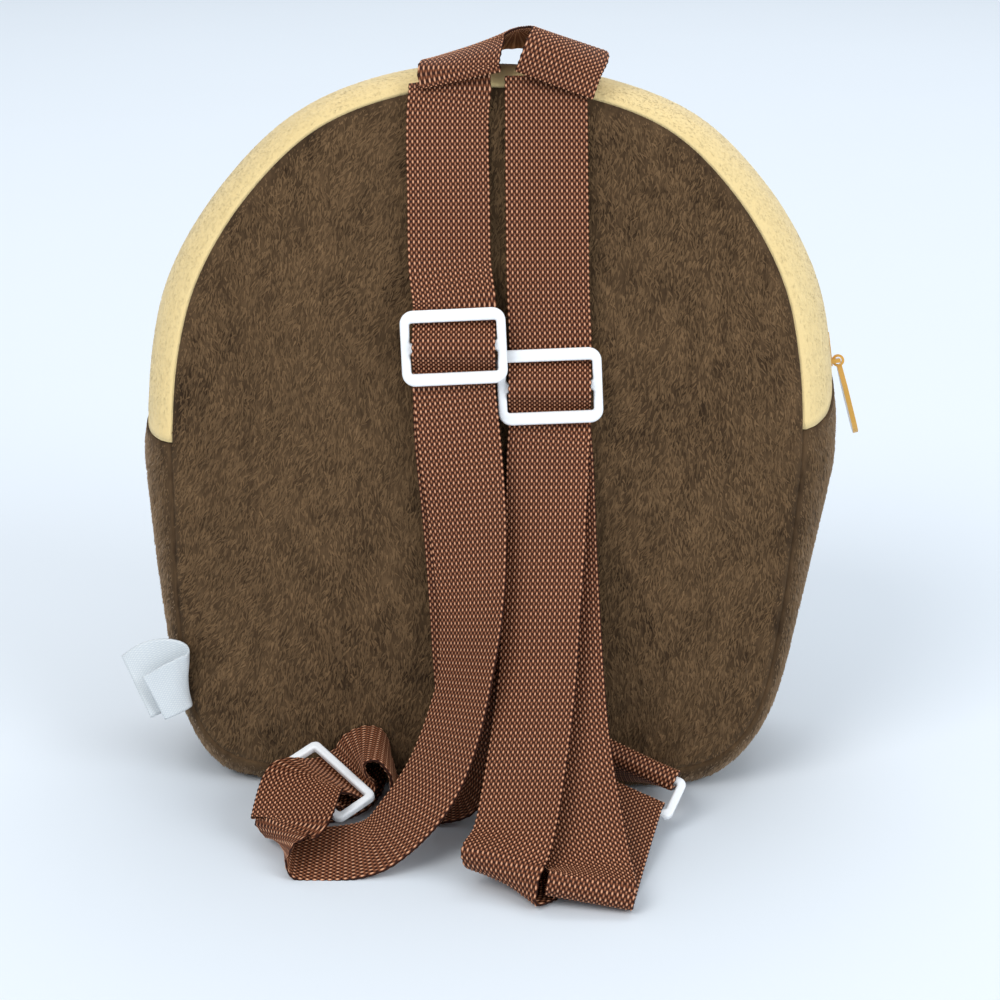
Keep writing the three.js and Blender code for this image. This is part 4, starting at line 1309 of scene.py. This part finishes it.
def add_teeth():
    """The closed zip: bent coil turns from both sides, meeting in the middle."""
    first = slider_share + (SLIDER_LENGTH / 2 + SEW_GAP) / seam_length
    last = middle_left - ZIP_START / seam_length
    count = int((last - first) * seam_length / TOOTH_PITCH)
    middles, axes, ups = [], [], []
    for side, shift in ((1.0, 0.0), (-1.0, 0.5)):
        share = np.linspace(first, last, count + 1)[:-1] + shift * (last - first) / count
        half = np.full(count, 0.5)
        at = gusset_points(share, half, TOOTH_RISE, 0.0)
        out = unit(gusset_points(share, half, 2 * TOOTH_RISE, 0.0) - at)
        ahead = gusset_points(share, half + DEPTH_STEP, TOOTH_RISE, 0.0)
        behind = gusset_points(share, half - DEPTH_STEP, TOOTH_RISE, 0.0)
        across = unit(ahead - behind)
        middles.append(at)
        axes.append(across * side)
        ups.append(unit(out - across * (out * across).sum(1, keepdims=True)))
    stacked = [np.concatenate(rows) for rows in (middles, axes, ups)]
    add_bars("zip_teeth", *stacked, TOOTH, coil_plastic, "zip_coil", ["zip_coil"])


add_teeth()
SOFT_EDGE = {"width": 0.00022, "segments": 3, "angle": math.radians(35)}
for node in ("zip_slider", "zip_pull"):
    piece = nodes[node]
    piece.data.materials.clear()
    piece.data.materials.append(enamel)
    edges = piece.modifiers.new("soft_edges", "BEVEL")
    edges.width = SOFT_EDGE["width"]
    edges.segments = SOFT_EDGE["segments"]
    edges.limit_method = "ANGLE"
    edges.angle_limit = SOFT_EDGE["angle"]

# Floor, light and camera
FLOOR_REACH = 6.0
floor_mesh = bpy.data.meshes.new("floor")
floor_corners = [(-FLOOR_REACH, -FLOOR_REACH, 0), (FLOOR_REACH, -FLOOR_REACH, 0)]
floor_corners += [(FLOOR_REACH, FLOOR_REACH, 0), (-FLOOR_REACH, FLOOR_REACH, 0)]
floor_mesh.from_pydata(floor_corners, [], [(0, 1, 2, 3)])
floor = bpy.data.objects.new("floor", floor_mesh)
bpy.context.scene.collection.objects.link(floor)
floor_paper = plain_finish("floor_paper", colour(230, 237, 244), 0.02, 3.0, 0.0001, 0.9, 0.0)
floor_mesh.materials.append(floor_paper)

SKY_TINT = (0.88, 0.94, 1.0, 1.0)
SKY_STRENGTH = 0.6
world = bpy.data.worlds.new("studio")
world.use_nodes = True
sky = world.node_tree.nodes["Background"].inputs
sky["Color"].default_value = SKY_TINT
sky["Strength"].default_value = SKY_STRENGTH
bpy.context.scene.world = world

# Lights: name, place in metres, size, power, tint
LIGHTS = (
    ("key", (-1.7, -2.2, 2.7), 2.2, 56.0, (1.0, 0.98, 0.96)),
    ("fill", (2.2, -1.8, 1.6), 2.0, 38.0, (0.94, 0.97, 1.0)),
    ("top", (0.3, 1.9, 3.0), 2.6, 38.0, (0.97, 0.98, 1.0)),
)
AIM = Vector((0.0, 0.0, 0.1))
for name, at, size, power, tint in LIGHTS:
    data = bpy.data.lights.new(name, "AREA")
    data.shape = "DISK"
    data.size = size
    data.energy = power
    data.color = tint
    lamp = bpy.data.objects.new(name, data)
    lamp.location = at
    lamp.rotation_mode = "QUATERNION"
    lamp.rotation_quaternion = (AIM - Vector(at)).to_track_quat("-Z", "Y")
    bpy.context.scene.collection.objects.link(lamp)

CAMERA_LENS = 83.73
CAMERA_SENSOR = 36.0
CAMERA_AT = Vector((23.01, -700.24, 313.07)) * MM
CAMERA_AIM = Vector((3.894, -15.75, 90.58)) * MM
camera_data = bpy.data.cameras.new("camera")
camera_data.lens = CAMERA_LENS
camera_data.sensor_width = CAMERA_SENSOR
camera = bpy.data.objects.new("camera", camera_data)
camera.location = CAMERA_AT
camera.rotation_mode = "QUATERNION"
camera.rotation_quaternion = (CAMERA_AIM - CAMERA_AT).to_track_quat("-Z", "Y")
bpy.context.scene.collection.objects.link(camera)
bpy.context.scene.camera = camera

bpy.context.scene.view_settings.view_transform = "Standard"
bpy.context.view_layer.update()
